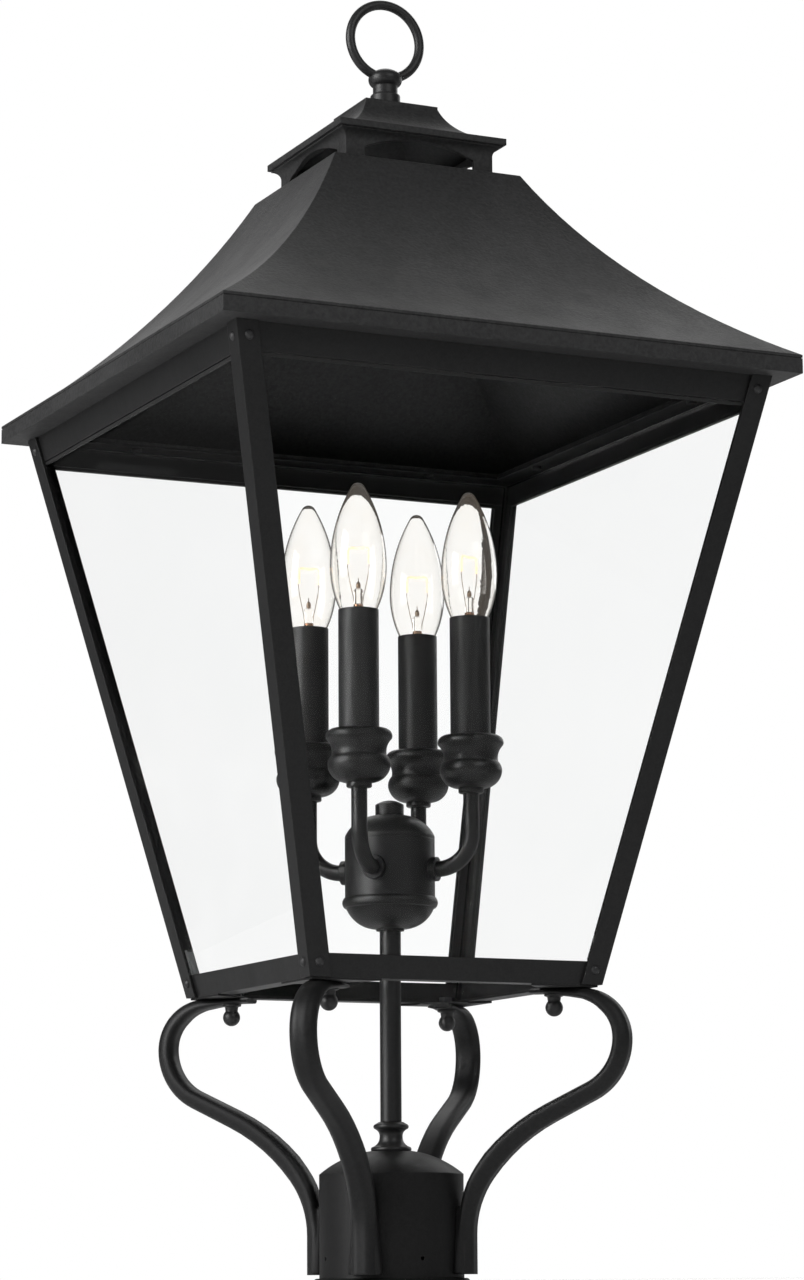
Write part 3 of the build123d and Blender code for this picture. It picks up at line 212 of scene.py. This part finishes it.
# ---------------------------------------------------------------- finishes
DUST = (0.11, 0.105, 0.095)
FADED_TONE, FADED_SHARE = 1.25, 0.35        # how light a touched patch is, and how much it shows
STREAK_SHARE, PATCH_SHARE = 0.4, 0.6        # of the change in roughness
RUBBED_POLISH = 0.12                        # roughness that a worn edge loses
PANE_IOR, PANE_ROUGHNESS = 1.12, (0.0, 0.02)            # low, since the panes are thin and flat
ENVELOPE_IOR, ENVELOPE_ROUGHNESS = 1.27, (0.0, 0.01)    # low, so the thin wall's outline stays pale
# The envelope's glow is painted light on glass that gives none; the filament's glow is its lamp.
ENVELOPE_PAINTED_GLOW, FILAMENT_GLOW = 0.016, 1.12
BLOCK_IOR, BLOCK_ROUGHNESS, BLOCK_CLEARNESS = 1.4, (0.25, 0.42), 0.55


def blank_finish(name):
    material = bpy.data.materials.new(name)
    material.use_nodes = True
    tree = material.node_tree
    return material, tree, tree.nodes["Principled BSDF"]


def bump(tree, shader, height, distance, strength, normal=None):
    node = tree.nodes.new("ShaderNodeBump")
    node.inputs["Distance"].default_value = distance
    node.inputs["Strength"].default_value = strength
    tree.links.new(height, node.inputs["Height"])
    if normal is not None:
        tree.links.new(normal, node.inputs["Normal"])
    tree.links.new(node.outputs["Normal"], shader.inputs["Normal"])


def powder_coat(name, deep, raised, worn, rough=(0.42, 0.56), grain=900.0, edge=0.0011, wear=0.5,
                dust=0.2, depth=0.00016, gloss=0.5):
    """Baked black coat over cast or sheet metal."""
    material, tree, shader = blank_finish(name)
    sand = place_group(tree, SAND_GRAIN, Grains_per_metre=grain)
    catch = place_group(tree, EDGE_CATCH, Radius=edge, Reach=wear)
    touch = place_group(tree, HANDLING)
    settled = place_group(tree, SETTLED_DUST, Amount=dust)
    coat = blend_colours(tree, sand.outputs["Tone"], deep, raised)
    faded = times(tree, touch.outputs["Patch"], FADED_SHARE)
    coat = blend_colours(tree, faded, coat, brighter(raised, FADED_TONE))
    coat = blend_colours(tree, catch.outputs["Mask"], coat, worn)
    coat = blend_colours(tree, settled.outputs["Mask"], coat, DUST)
    tree.links.new(coat, shader.inputs["Base Color"])
    spread = math_node(tree, "ADD", times(tree, touch.outputs["Streak"], STREAK_SHARE),
                       times(tree, touch.outputs["Patch"], PATCH_SHARE))
    polish = times(tree, catch.outputs["Mask"], RUBBED_POLISH)
    sheen = math_node(tree, "SUBTRACT", remap(tree, spread, 0.0, 1.0, *rough), polish)
    tree.links.new(sheen, shader.inputs["Roughness"])
    shader.inputs["Specular IOR Level"].default_value = gloss
    grit = times(tree, sand.outputs["Height"], settled.outputs["Outside"])
    bump(tree, shader, grit, depth, strength=0.55, normal=catch.outputs["Normal"])
    return material


def clear_pane():
    """Clear flat glass with faint smears."""
    material, tree, shader = blank_finish("clear_pane")
    touch = place_group(tree, HANDLING, Patches_per_metre=9.0)
    tint = blend_colours(tree, touch.outputs["Patch"], (0.992, 0.994, 0.993), (0.980, 0.984, 0.983))
    tree.links.new(tint, shader.inputs["Base Color"])
    tree.links.new(remap(tree, touch.outputs["Streak"], 0, 1, *PANE_ROUGHNESS), shader.inputs["Roughness"])
    shader.inputs["Transmission Weight"].default_value = 1.0
    shader.inputs["IOR"].default_value = PANE_IOR
    return material


def bulb_envelope_painted_glow(name="bulb_envelope_painted_glow"):
    """Thin blown glass around a lit filament, with a painted glow: the glass itself emits a faint warm
    light, more orange in streaks, standing in for the filament's light on it.
    """
    material, tree, shader = blank_finish(name)
    touch = place_group(tree, HANDLING, Patches_per_metre=60.0)
    tint = blend_colours(tree, touch.outputs["Patch"], (1.0, 0.995, 0.985), (0.985, 0.975, 0.955))
    tree.links.new(tint, shader.inputs["Base Color"])
    sheen = remap(tree, touch.outputs["Streak"], 0, 1, *ENVELOPE_ROUGHNESS)
    tree.links.new(sheen, shader.inputs["Roughness"])
    shader.inputs["Transmission Weight"].default_value = 1.0
    shader.inputs["IOR"].default_value = ENVELOPE_IOR
    # Painted glow: faint warm emission on the glass, more orange along the streaks.
    painted_glow_tint = blend_colours(tree, touch.outputs["Streak"], (1.0, 0.95, 0.89), (1.0, 0.74, 0.52))
    tree.links.new(painted_glow_tint, shader.inputs["Emission Color"])
    shader.inputs["Emission Strength"].default_value = ENVELOPE_PAINTED_GLOW
    bump(tree, shader, touch.outputs["Streak"], distance=0.00004, strength=0.1)
    return material


def bare_metal(name, low, high, rough=(0.24, 0.4), grain=1400.0, edge=0.0006):
    """Drawn or turned bare metal with a fine grain and a little tarnish."""
    material, tree, shader = blank_finish(name)
    sand = place_group(tree, SAND_GRAIN, Grains_per_metre=grain)
    touch = place_group(tree, HANDLING, Patches_per_metre=90.0)
    catch = place_group(tree, EDGE_CATCH, Radius=edge, Reach=0.6)
    tone = blend_colours(tree, touch.outputs["Patch"], low, high)
    tone = blend_colours(tree, catch.outputs["Mask"], tone, brighter(high, 1.25))
    tree.links.new(tone, shader.inputs["Base Color"])
    shader.inputs["Metallic"].default_value = 1.0
    tree.links.new(remap(tree, sand.outputs["Tone"], 0, 1, *rough), shader.inputs["Roughness"])
    bump(tree, shader, sand.outputs["Height"], distance=0.00005, strength=0.4,
         normal=catch.outputs["Normal"])
    return material


def moulded(name, low, high, rough, grain=1100.0, depth=0.00006, edge=0.0005):
    """Moulded plastic, rubber or fired ceramic."""
    material, tree, shader = blank_finish(name)
    sand = place_group(tree, SAND_GRAIN, Grains_per_metre=grain)
    touch = place_group(tree, HANDLING, Patches_per_metre=30.0)
    catch = place_group(tree, EDGE_CATCH, Radius=edge, Reach=0.35)
    tone = blend_colours(tree, times(tree, touch.outputs["Patch"], 0.8), low, high)
    tone = blend_colours(tree, catch.outputs["Mask"], tone, brighter(high, 1.6))
    tree.links.new(tone, shader.inputs["Base Color"])
    tree.links.new(remap(tree, touch.outputs["Streak"], 0, 1, *rough), shader.inputs["Roughness"])
    bump(tree, shader, sand.outputs["Height"], depth, strength=0.5, normal=catch.outputs["Normal"])
    return material


def glowing_wire():
    """Lit filament, hotter in patches."""
    material, tree, shader = blank_finish("glowing_wire")
    touch = place_group(tree, HANDLING, Patches_per_metre=400.0)
    heat = blend_colours(tree, touch.outputs["Patch"], (1.0, 0.70, 0.42), (1.0, 0.82, 0.60))
    tree.links.new(heat, shader.inputs["Emission Color"])
    tree.links.new(heat, shader.inputs["Base Color"])
    shader.inputs["Emission Strength"].default_value = FILAMENT_GLOW
    shader.inputs["Roughness"].default_value = 0.5
    return material


def clear_block():
    """Soft clear plastic, faintly milky."""
    material, tree, shader = blank_finish("setting_block_plastic")
    touch = place_group(tree, HANDLING, Patches_per_metre=60.0)
    tone = blend_colours(tree, touch.outputs["Patch"], (0.80, 0.82, 0.82), (0.70, 0.72, 0.72))
    tree.links.new(tone, shader.inputs["Base Color"])
    tree.links.new(remap(tree, touch.outputs["Streak"], 0, 1, *BLOCK_ROUGHNESS), shader.inputs["Roughness"])
    shader.inputs["Transmission Weight"].default_value = BLOCK_CLEARNESS
    shader.inputs["IOR"].default_value = BLOCK_IOR
    return material


FINISHES = {
    "fitter": powder_coat("fitter_coat", (0.0025, 0.0025, 0.0027), (0.007, 0.007, 0.0072),
                          (0.05, 0.048, 0.045), dust=0.08, gloss=0.3),
    "bracket": powder_coat("bracket_coat", (0.004, 0.004, 0.0043), (0.011, 0.011, 0.0113),
                           (0.06, 0.058, 0.055), edge=0.0016, gloss=0.36),
    "frame": powder_coat("frame_coat", (0.005, 0.005, 0.0053), (0.012, 0.012, 0.0123),
                         (0.09, 0.088, 0.084), edge=0.0007, dust=0.25, gloss=0.4),
    "roof": powder_coat("roof_coat", (0.010, 0.010, 0.0105), (0.032, 0.032, 0.0325),
                        (0.085, 0.083, 0.08), dust=0.3, rough=(0.52, 0.66), grain=560.0, depth=0.0009),
    "finial": powder_coat("finial_coat", (0.009, 0.009, 0.0095), (0.020, 0.020, 0.0205),
                          (0.07, 0.068, 0.065), rough=(0.34, 0.48)),
    "cluster": powder_coat("cluster_coat", (0.007, 0.007, 0.0072), (0.014, 0.014, 0.0143),
                           (0.07, 0.068, 0.065), rough=(0.36, 0.46), grain=1600.0),
    "rivets": powder_coat("rivet_coat", (0.012, 0.012, 0.013), (0.03, 0.03, 0.031),
                          (0.1, 0.098, 0.094), edge=0.0005, wear=0.7),
    "panel_glass": clear_pane(),
    "bulb_glass": bulb_envelope_painted_glow(),
    "bulb_base": bare_metal("brass_shell", (0.42, 0.23, 0.075), (0.62, 0.37, 0.14)),
    "setting_block": clear_block(),
    "glazing": moulded("glazing_rubber", (0.007, 0.007, 0.007), (0.016, 0.016, 0.016), (0.5, 0.72)),
    "fasteners": bare_metal("blackened_steel", (0.05, 0.05, 0.052), (0.11, 0.11, 0.112), (0.32, 0.5)),
    "sleeve": moulded("sleeve_plastic", (0.014, 0.014, 0.014), (0.024, 0.024, 0.0243), (0.46, 0.58),
                      grain=2200.0, depth=0.00001),
    "socket": moulded("socket_ceramic", (0.62, 0.60, 0.55), (0.74, 0.72, 0.67), (0.18, 0.34),
                      grain=500.0),
}


def finish_cad_nodes():
    """Each node takes the finish of its material slot in the record."""
    slot_of = {part["node"]: part["material_slot"] for part in frame["record"]["subparts"]}
    for name, piece in frame["nodes"].items():
        material = FINISHES[slot_of[name]]
        if not piece.material_slots:
            piece.data.materials.append(material)
        for slot in piece.material_slots:
            slot.material = material


finish_cad_nodes()


# ---------------------------------------------------------------- making pieces by hand
MERGE_UNDER = 0.000001


def clear_bench():
    """Nothing selected, so an operator acts only on what is made next."""
    bpy.ops.object.select_all(action="DESELECT")


def set_down(piece, smooth_under=40.0):
    """Faces outwards, object at the origin, soft shading up to an angle."""
    bpy.ops.object.mode_set(mode="EDIT")
    bpy.ops.mesh.select_all(action="SELECT")
    bpy.ops.mesh.remove_doubles(threshold=MERGE_UNDER)
    bpy.ops.mesh.normals_make_consistent(inside=False)
    bpy.ops.object.mode_set(mode="OBJECT")
    bpy.ops.object.transform_apply(location=True, rotation=True, scale=True)
    bpy.ops.object.shade_smooth_by_angle(angle=radians(smooth_under))
    return piece


def turn_on_lathe(name, profile, vertices):
    """A disc drawn up the Z axis through each (radius, height), in millimetres."""
    clear_bench()
    radius, height = profile[0]
    bpy.ops.mesh.primitive_circle_add(vertices=vertices, radius=radius * MM, fill_type="NGON",
                                      location=(0, 0, height * MM))
    piece = bpy.context.object
    piece.name = name
    bpy.ops.object.mode_set(mode="EDIT")
    bpy.ops.mesh.select_all(action="SELECT")
    for next_radius, next_height in profile[1:]:
        rise = (0, 0, (next_height - height) * MM)
        bpy.ops.mesh.extrude_region_move(TRANSFORM_OT_translate={"value": rise})
        spread = next_radius / radius
        bpy.ops.transform.resize(value=(spread, spread, 1), center_override=(0, 0, next_height * MM))
        radius, height = next_radius, next_height
    bpy.ops.object.mode_set(mode="OBJECT")
    return set_down(piece)


def draw_on(stations):
    """Draws the selected outline on through (x, z, lean, thickness) stations in the XZ plane.

    transform.rotate turns against its value here: +lean sets the outline straight for the resize,
    and -next_lean leans it again.
    """
    x, z, lean, thick = stations[0]
    for next_x, next_z, next_lean, next_thick in stations[1:]:
        step = ((next_x - x) * MM, 0, (next_z - z) * MM)
        pivot = (next_x * MM, 0, next_z * MM)
        bpy.ops.mesh.extrude_region_move(TRANSFORM_OT_translate={"value": step})
        bpy.ops.transform.rotate(value=lean, orient_axis="Y", center_override=pivot)
        bpy.ops.transform.resize(value=(next_thick / thick, 1, 1), center_override=pivot)
        bpy.ops.transform.rotate(value=-next_lean, orient_axis="Y", center_override=pivot)
        x, z, lean, thick = next_x, next_z, next_lean, next_thick


def draw_wire(name, path, radius, sides=10):
    """Round wire through (x, z) points in the XZ plane, in millimetres."""
    leans = [atan2(b[0] - a[0], b[1] - a[1]) for a, b in zip(path, path[1:])]
    turns = [leans[0]] + [(a + b) / 2 for a, b in zip(leans, leans[1:])] + [leans[-1]]
    stations = [(x, z, lean, 1.0) for (x, z), lean in zip(path, turns)]
    clear_bench()
    bpy.ops.mesh.primitive_circle_add(vertices=sides, radius=radius * MM, fill_type="NGON",
                                      location=(path[0][0] * MM, 0, path[0][1] * MM),
                                      rotation=(0, turns[0], 0))
    wire = bpy.context.object
    wire.name = name
    bpy.ops.object.mode_set(mode="EDIT")
    bpy.ops.mesh.select_all(action="SELECT")
    draw_on(stations)
    bpy.ops.object.mode_set(mode="OBJECT")
    return set_down(wire, smooth_under=60.0)


def join_up(name, pieces):
    clear_bench()
    for piece in pieces:
        piece.select_set(True)
    bpy.context.view_layer.objects.active = pieces[0]
    bpy.ops.object.join()
    pieces[0].name = name
    return pieces[0]


def dress(piece, finish, body, replaced=None):
    """One finish, the body it rides on and the CAD node it stands for."""
    piece.data.materials.clear()
    piece.data.materials.append(finish)
    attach(piece, body)
    if replaced:
        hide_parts(replaced)


def place_copy(master, name, spot, turn):
    """A copy with its own mesh, turned about the upright and set down at a spot."""
    clear_bench()
    copy = master.copy()
    copy.data = master.data.copy()
    copy.name = name
    bpy.context.scene.collection.objects.link(copy)
    copy.location = spot
    copy.rotation_euler = (0, 0, radians(turn))
    copy.select_set(True)
    bpy.context.view_layer.objects.active = copy
    bpy.ops.object.transform_apply(location=True, rotation=True, scale=True)
    return copy


# ---------------------------------------------------------------- cast scroll brackets
BRACKET_FOOT = (50.3, 8.0)          # outer line's start: reach from the middle, height
BRACKET_LEGS = ((22.2, 0), (52.0, 37.0), (105.0, 26.8), (26.9, 0),
                (37.6, -63.8), (29.0, -90.0), (28.3, 0))        # radius and turn, or length and 0
BRACKET_THICKNESS = ((0, 9.0), (32, 9.0), (46, 10.6), (64, 11.4), (100, 10.8), (150, 10.2), (178, 9.7),
                     (200, 8.8), (213, 7.1), (228, 4.4), (240, 2.9), (300, 2.8))    # at a run along
DEGREES_PER_STEP, RUN_PER_STEP = 4.5, 7
BRACKET_HALF_WIDTH = 7.8
BRACKET_OUTER_SHARE = 0.68          # of the thickness, on the round side of the widest line
BRACKET_SHOULDER = 1.12             # fullness of the section either side of its middle
SHOULDER_FROM, SHOULDER_TO = 0.4, 0.95      # of the half width
OUTLINE_POINTS = 28
ON_MIDLINE = 0.0002
PAD_SIZE, PAD_MIDDLE, PAD_TOP_TAPER = (6.4, 20.0, 38.0), (43.0, 0, 27.0), 0.62
PAD_BEVEL, PAD_BEVEL_STEPS = 0.0016, 3
FITTER_SKIN, SKIN_POINTS, SKIN_DEPTH = 41.25, 128, 0.2


def bracket_thickness(along):
    for (low, thin), (high, thick) in zip(BRACKET_THICKNESS, BRACKET_THICKNESS[1:]):
        if along <= high:
            return thin + (thick - thin) * (along - low) / (high - low)
    return BRACKET_THICKNESS[-1][1]


def bracket_stations():
    """The outer line, leg by leg; then each station moved in to the section's widest line."""
    (x, z), lean, along = BRACKET_FOOT, 0.0, 0.0
    line = [(x, z, lean, along)]
    for size, turn in BRACKET_LEGS:
        steps = max(1, round(abs(turn) / DEGREES_PER_STEP if turn else size / RUN_PER_STEP))
        for _ in range(steps):
            bend = radians(turn) / steps
            run = 2 * size * sin(abs(bend) / 2) if turn else size / steps
            x += run * sin(lean + bend / 2)
            z += run * cos(lean + bend / 2)
            lean += bend
            along += run
            line.append((x, z, lean, along))
    stations = []
    for x, z, lean, along in line:
        thick = bracket_thickness(along)
        inward = BRACKET_OUTER_SHARE * thick
        stations.append((x - inward * cos(lean), z + inward * sin(lean), lean, thick))
    return stations


def resize_where(piece, wanted, value, pivot):
    """In edit mode, resizes about a pivot the points that pass a test on their place."""
    bpy.ops.mesh.select_all(action="DESELECT")
    bpy.ops.object.mode_set(mode="OBJECT")
    for vertex in piece.data.vertices:
        vertex.select = wanted(vertex.co)
    bpy.ops.object.mode_set(mode="EDIT")
    bpy.ops.transform.resize(value=value, center_override=pivot)


def cast_bar():
    """Half-round bar drawn along the bracket's scroll."""
    stations = bracket_stations()
    x, z, _, thick = stations[0]
    foot = (x * MM, 0, z * MM)
    half_width = BRACKET_HALF_WIDTH * MM
    clear_bench()
    bpy.ops.mesh.primitive_circle_add(vertices=OUTLINE_POINTS, radius=half_width, fill_type="NGON",
                                      location=foot)
    bar = bpy.context.object
    bpy.ops.object.mode_set(mode="EDIT")
    for side, share in ((1, BRACKET_OUTER_SHARE), (-1, 1 - BRACKET_OUTER_SHARE)):
        squeeze = share * thick / BRACKET_HALF_WIDTH
        resize_where(bar, lambda co: side * co.x > ON_MIDLINE, (squeeze, 1, 1), foot)
    resize_where(bar, lambda co: SHOULDER_FROM < abs(co.y) / half_width < SHOULDER_TO,
                 (BRACKET_SHOULDER, 1, 1), foot)
    bpy.ops.mesh.select_all(action="SELECT")
    draw_on(stations)
    bpy.ops.object.mode_set(mode="OBJECT")
    return set_down(bar, smooth_under=50.0)


def apply_modifier(piece, kind, **settings):
    bpy.ops.object.modifier_add(type=kind)
    modifier = piece.modifiers[-1]
    for label, value in settings.items():
        setattr(modifier, label, value)
    bpy.ops.object.modifier_apply(modifier=modifier.name)


def cast_pad():
    """Tapered pad between bar and fitter, hollowed to seat on the fitter's skin."""
    middle = tuple(v * MM for v in PAD_MIDDLE)
    clear_bench()
    bpy.ops.mesh.primitive_cube_add(size=1, location=middle, scale=tuple(v * MM for v in PAD_SIZE))
    pad = bpy.context.object
    bpy.ops.object.transform_apply(location=True, rotation=True, scale=True)
    bpy.ops.object.mode_set(mode="EDIT")
    resize_where(pad, lambda co: co.z > middle[2], (1, PAD_TOP_TAPER, 1), middle)
    bpy.ops.object.mode_set(mode="OBJECT")
    apply_modifier(pad, "BEVEL", width=PAD_BEVEL, segments=PAD_BEVEL_STEPS)
    clear_bench()
    bpy.ops.mesh.primitive_cylinder_add(vertices=SKIN_POINTS, radius=FITTER_SKIN * MM, depth=SKIN_DEPTH)
    skin = bpy.context.object
    clear_bench()
    pad.select_set(True)
    bpy.context.view_layer.objects.active = pad
    apply_modifier(pad, "BOOLEAN", operation="DIFFERENCE", object=skin)
    bpy.data.objects.remove(skin)
    return set_down(pad, smooth_under=35.0)


def fit_brackets():
    master = join_up("bracket_master", [cast_bar(), cast_pad()])
    for corner, angle in CORNERS.items():
        bracket = place_copy(master, "cast_bracket_" + corner, (0, 0, 0), angle)
        dress(bracket, FINISHES["bracket"], "lantern", "scroll_bracket_" + corner)
    bpy.data.objects.remove(master)


fit_brackets()


# ---------------------------------------------------------------- inside the bulbs
FILAMENT_PATH = [(-6.0, 37.8), (-6.1, 42.0), (-6.0, 45.4), (-5.3, 46.7), (-3.6, 47.0), (0.0, 46.6),
                 (3.6, 47.0), (5.3, 46.7), (6.0, 45.4), (6.1, 42.0), (6.0, 37.8)]
LEAD_PATH = [(6.0, 38.4), (6.3, 36.6), (5.6, 31.0), (4.2, 24.0), (3.0, 19.0), (2.6, 15.0), (1.6, 9.0)]
FILAMENT_RADIUS, LEAD_RADIUS, LEAD_SIDES = 0.7, 0.22, 8
STEM_PROFILE = [(5.2, 1.2), (4.6, 3.0), (3.5, 6.0), (2.9, 10.0), (2.7, 15.0), (2.5, 20.0), (2.9, 21.6),
                (2.4, 22.8), (1.2, 23.4)]
BEAD_PROFILE = [(0.5, 22.6), (1.0, 23.1), (1.3, 24.0), (1.35, 25.2), (1.1, 26.3), (0.6, 27.0),
                (0.25, 27.4), (0.22, 29.4)]
FLARE_PROFILE = [(2.3, 11.4), (2.9, 11.7), (2.5, 12.3), (3.0, 12.8), (2.5, 13.4), (2.8, 13.8), (2.3, 14.2)]
BASE_TIP = [(1.3, 0.0), (1.9, 0.5), (2.0, 1.1), (3.4, 1.9), (4.9, 2.7)]
BASE_COLLAR = [(5.3, 16.2), (5.7, 17.0), (5.9, 18.6), (5.75, 20.0)]
THREAD_START, THREAD_PITCH, THREAD_TURNS = 4.0, 1.9, 6
THREAD_RADIUS, THREAD_DEPTH, STEPS_PER_TURN = 5.45, 0.38, 6
BULB_TURNS = {"front_right": 18, "back_right": -24, "back_left": -6, "front_left": -32}


def screw_base_profile():
    """The base from its tip contact up: insulator, rolled thread and collar."""
    thread = []
    for step in range(THREAD_TURNS * STEPS_PER_TURN + 1):
        wave = THREAD_DEPTH * cos(2 * pi * step / STEPS_PER_TURN)
        thread.append((THREAD_RADIUS + wave, THREAD_START + THREAD_PITCH * step / STEPS_PER_TURN))
    return BASE_TIP + thread + BASE_COLLAR


def fit_bulb(corner, masters):
    low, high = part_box("bulb_glass_" + corner)
    middle = ((low[0] + high[0]) / 2, (low[1] + high[1]) / 2)
    base_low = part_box("bulb_base_" + corner)[0][2]
    for stem, master, finish, slot, foot in masters:
        is_base = foot == "base"
        spot = (*middle, base_low if is_base else low[2])
        piece = place_copy(master, stem + "_" + corner, spot, BULB_TURNS[corner])
        dress(piece, finish, "bulb_" + corner, "bulb_base_" + corner if is_base else None)


def fit_bulbs():
    lead = draw_wire("lead", LEAD_PATH, LEAD_RADIUS, LEAD_SIDES)
    other_lead = draw_wire("other_lead", [(-x, z) for x, z in LEAD_PATH], LEAD_RADIUS, LEAD_SIDES)
    bead = turn_on_lathe("bead", BEAD_PROFILE, vertices=16)
    filament = draw_wire("filament_master", FILAMENT_PATH, FILAMENT_RADIUS)
    leads = join_up("leads_master", [lead, other_lead, bead])
    stem = turn_on_lathe("stem_master", STEM_PROFILE, vertices=20)
    flare = turn_on_lathe("flare_master", FLARE_PROFILE, vertices=20)
    base = turn_on_lathe("base_master", screw_base_profile(), vertices=40)
    masters = (
        ("filament", filament, glowing_wire(), "bulb_base", "glass"),
        ("leads", leads, LEAD_METAL, "fasteners", "glass"),
        ("mount_stem", stem, STEM_GLASS_PAINTED_GLOW, "bulb_glass", "glass"),
        ("flare_ring", flare, COPPER, "bulb_base", "glass"),
        ("screw_base", base, FINISHES["bulb_base"], "bulb_base", "base"),
    )
    for corner in CORNERS:
        fit_bulb(corner, masters)
    for master in (filament, leads, stem, flare, base):
        bpy.data.objects.remove(master)


LEAD_METAL = bare_metal("lead_wire", (0.34, 0.24, 0.17), (0.58, 0.44, 0.33), (0.3, 0.45))
COPPER = bare_metal("flare_copper", (0.72, 0.40, 0.24), (0.92, 0.62, 0.42), (0.16, 0.3))
# The stem glass carries the same painted glow as the bulb envelope.
STEM_GLASS_PAINTED_GLOW = bulb_envelope_painted_glow("stem_glass_painted_glow")
fit_bulbs()


# ---------------------------------------------------------------- camera, floor and light
CAMERA_SPOT = (-0.9138, -1.9646, 0.009)
CAMERA_HEADING, CAMERA_PITCH, CAMERA_ROLL = -25.156, 9.545, -0.357      # degrees
LENS, SENSOR_WIDTH, NEAREST = 105.85, 36, 0.02
FLOOR_SIZE, FLOOR_DROP, FLOOR_TONE, FLOOR_GLOW = 4.6, 0.0002, (0.86, 0.86, 0.86), 0.5
WHITE = (1, 1, 1, 1)
BACKDROP_STRENGTH, EVEN_LIGHT_STRENGTH = 1.0, 0.12
SOFTBOXES = (                       # name, place, aim, width and height, watts
    ("key_left", (-2.7, -0.1, 1.3), (0, 0, 0.5), (1.6, 2.2), 72),
    ("sky_back", (1.1, 1.7, 2.4), (0, 0, 0.6), (2.6, 2.2), 26),
    ("low_right", (2.9, 1.3, 1.3), (0, 0, 0.6), (1.4, 1.2), 9),
    ("fill_front", (0.4, -2.6, 2.0), (0, 0, 0.62), (1.8, 1.4), 15),
)


def set_camera():
    """Low three-quarter view from the front left."""
    heading, pitch, roll = radians(CAMERA_HEADING), radians(CAMERA_PITCH), radians(CAMERA_ROLL)
    ahead = Vector((-sin(heading) * cos(pitch), cos(heading) * cos(pitch), sin(pitch)))
    level = Vector((cos(heading), sin(heading), 0))
    upright = level.cross(ahead)
    side = cos(roll) * level + sin(roll) * upright
    above = cos(roll) * upright - sin(roll) * level
    camera = bpy.data.objects.new("camera", bpy.data.cameras.new("camera"))
    bpy.context.scene.collection.objects.link(camera)
    turn = Matrix((side, above, -ahead)).transposed()
    camera.matrix_world = Matrix.Translation(CAMERA_SPOT) @ turn.to_4x4()
    camera.data.lens = LENS
    camera.data.sensor_width = SENSOR_WIDTH
    camera.data.clip_start = NEAREST
    bpy.context.scene.camera = camera


def seen_directly(tree):
    """1 for what the camera sees straight or through glass, 0 for light that has bounced."""
    ray = tree.nodes.new("ShaderNodeLightPath")
    bounced = math_node(tree, "ADD", ray.outputs["Diffuse Depth"], ray.outputs["Glossy Depth"])
    return math_node(tree, "LESS_THAN", bounced, 0.5)


def set_floor():
    """Pale floor that glows a little where it is seen directly."""
    clear_bench()
    bpy.ops.mesh.primitive_plane_add(size=FLOOR_SIZE, location=(0, 0, -FLOOR_DROP))
    floor = bpy.context.object
    floor.name = "studio_floor"
    material, tree, shader = blank_finish("studio_floor")
    shader.inputs["Base Color"].default_value = (*FLOOR_TONE, 1)
    shader.inputs["Roughness"].default_value = 0.9
    shader.inputs["Emission Color"].default_value = WHITE
    tree.links.new(times(tree, seen_directly(tree), FLOOR_GLOW), shader.inputs["Emission Strength"])
    floor.data.materials.append(material)


def set_softbox(name, spot, aim, size, power):
    light = bpy.data.lights.new(name, "AREA")
    light.shape = "RECTANGLE"
    light.size, light.size_y = size
    light.energy = power
    lamp = bpy.data.objects.new(name, light)
    bpy.context.scene.collection.objects.link(lamp)
    lamp.location = spot
    lamp.visible_camera = False
    lamp.rotation_euler = (Vector(aim) - Vector(spot)).to_track_quat("-Z", "Y").to_euler()


def set_backdrop():
    """White behind the lantern, and a dimmer even light on it."""
    world = bpy.data.worlds.new("studio")
    bpy.context.scene.world = world
    world.use_nodes = True
    tree = world.node_tree
    tree.nodes.clear()
    mix, out = tree.nodes.new("ShaderNodeMixShader"), tree.nodes.new("ShaderNodeOutputWorld")
    tree.links.new(seen_directly(tree), mix.inputs[0])
    for socket, strength in ((mix.inputs[1], EVEN_LIGHT_STRENGTH), (mix.inputs[2], BACKDROP_STRENGTH)):
        glow = tree.nodes.new("ShaderNodeBackground")
        glow.inputs["Color"].default_value = WHITE
        glow.inputs["Strength"].default_value = strength
        tree.links.new(glow.outputs[0], socket)
    tree.links.new(mix.outputs[0], out.inputs["Surface"])


set_camera()
set_floor()
set_backdrop()
bpy.context.scene.view_settings.view_transform = "Standard"
for softbox in SOFTBOXES:
    set_softbox(*softbox)
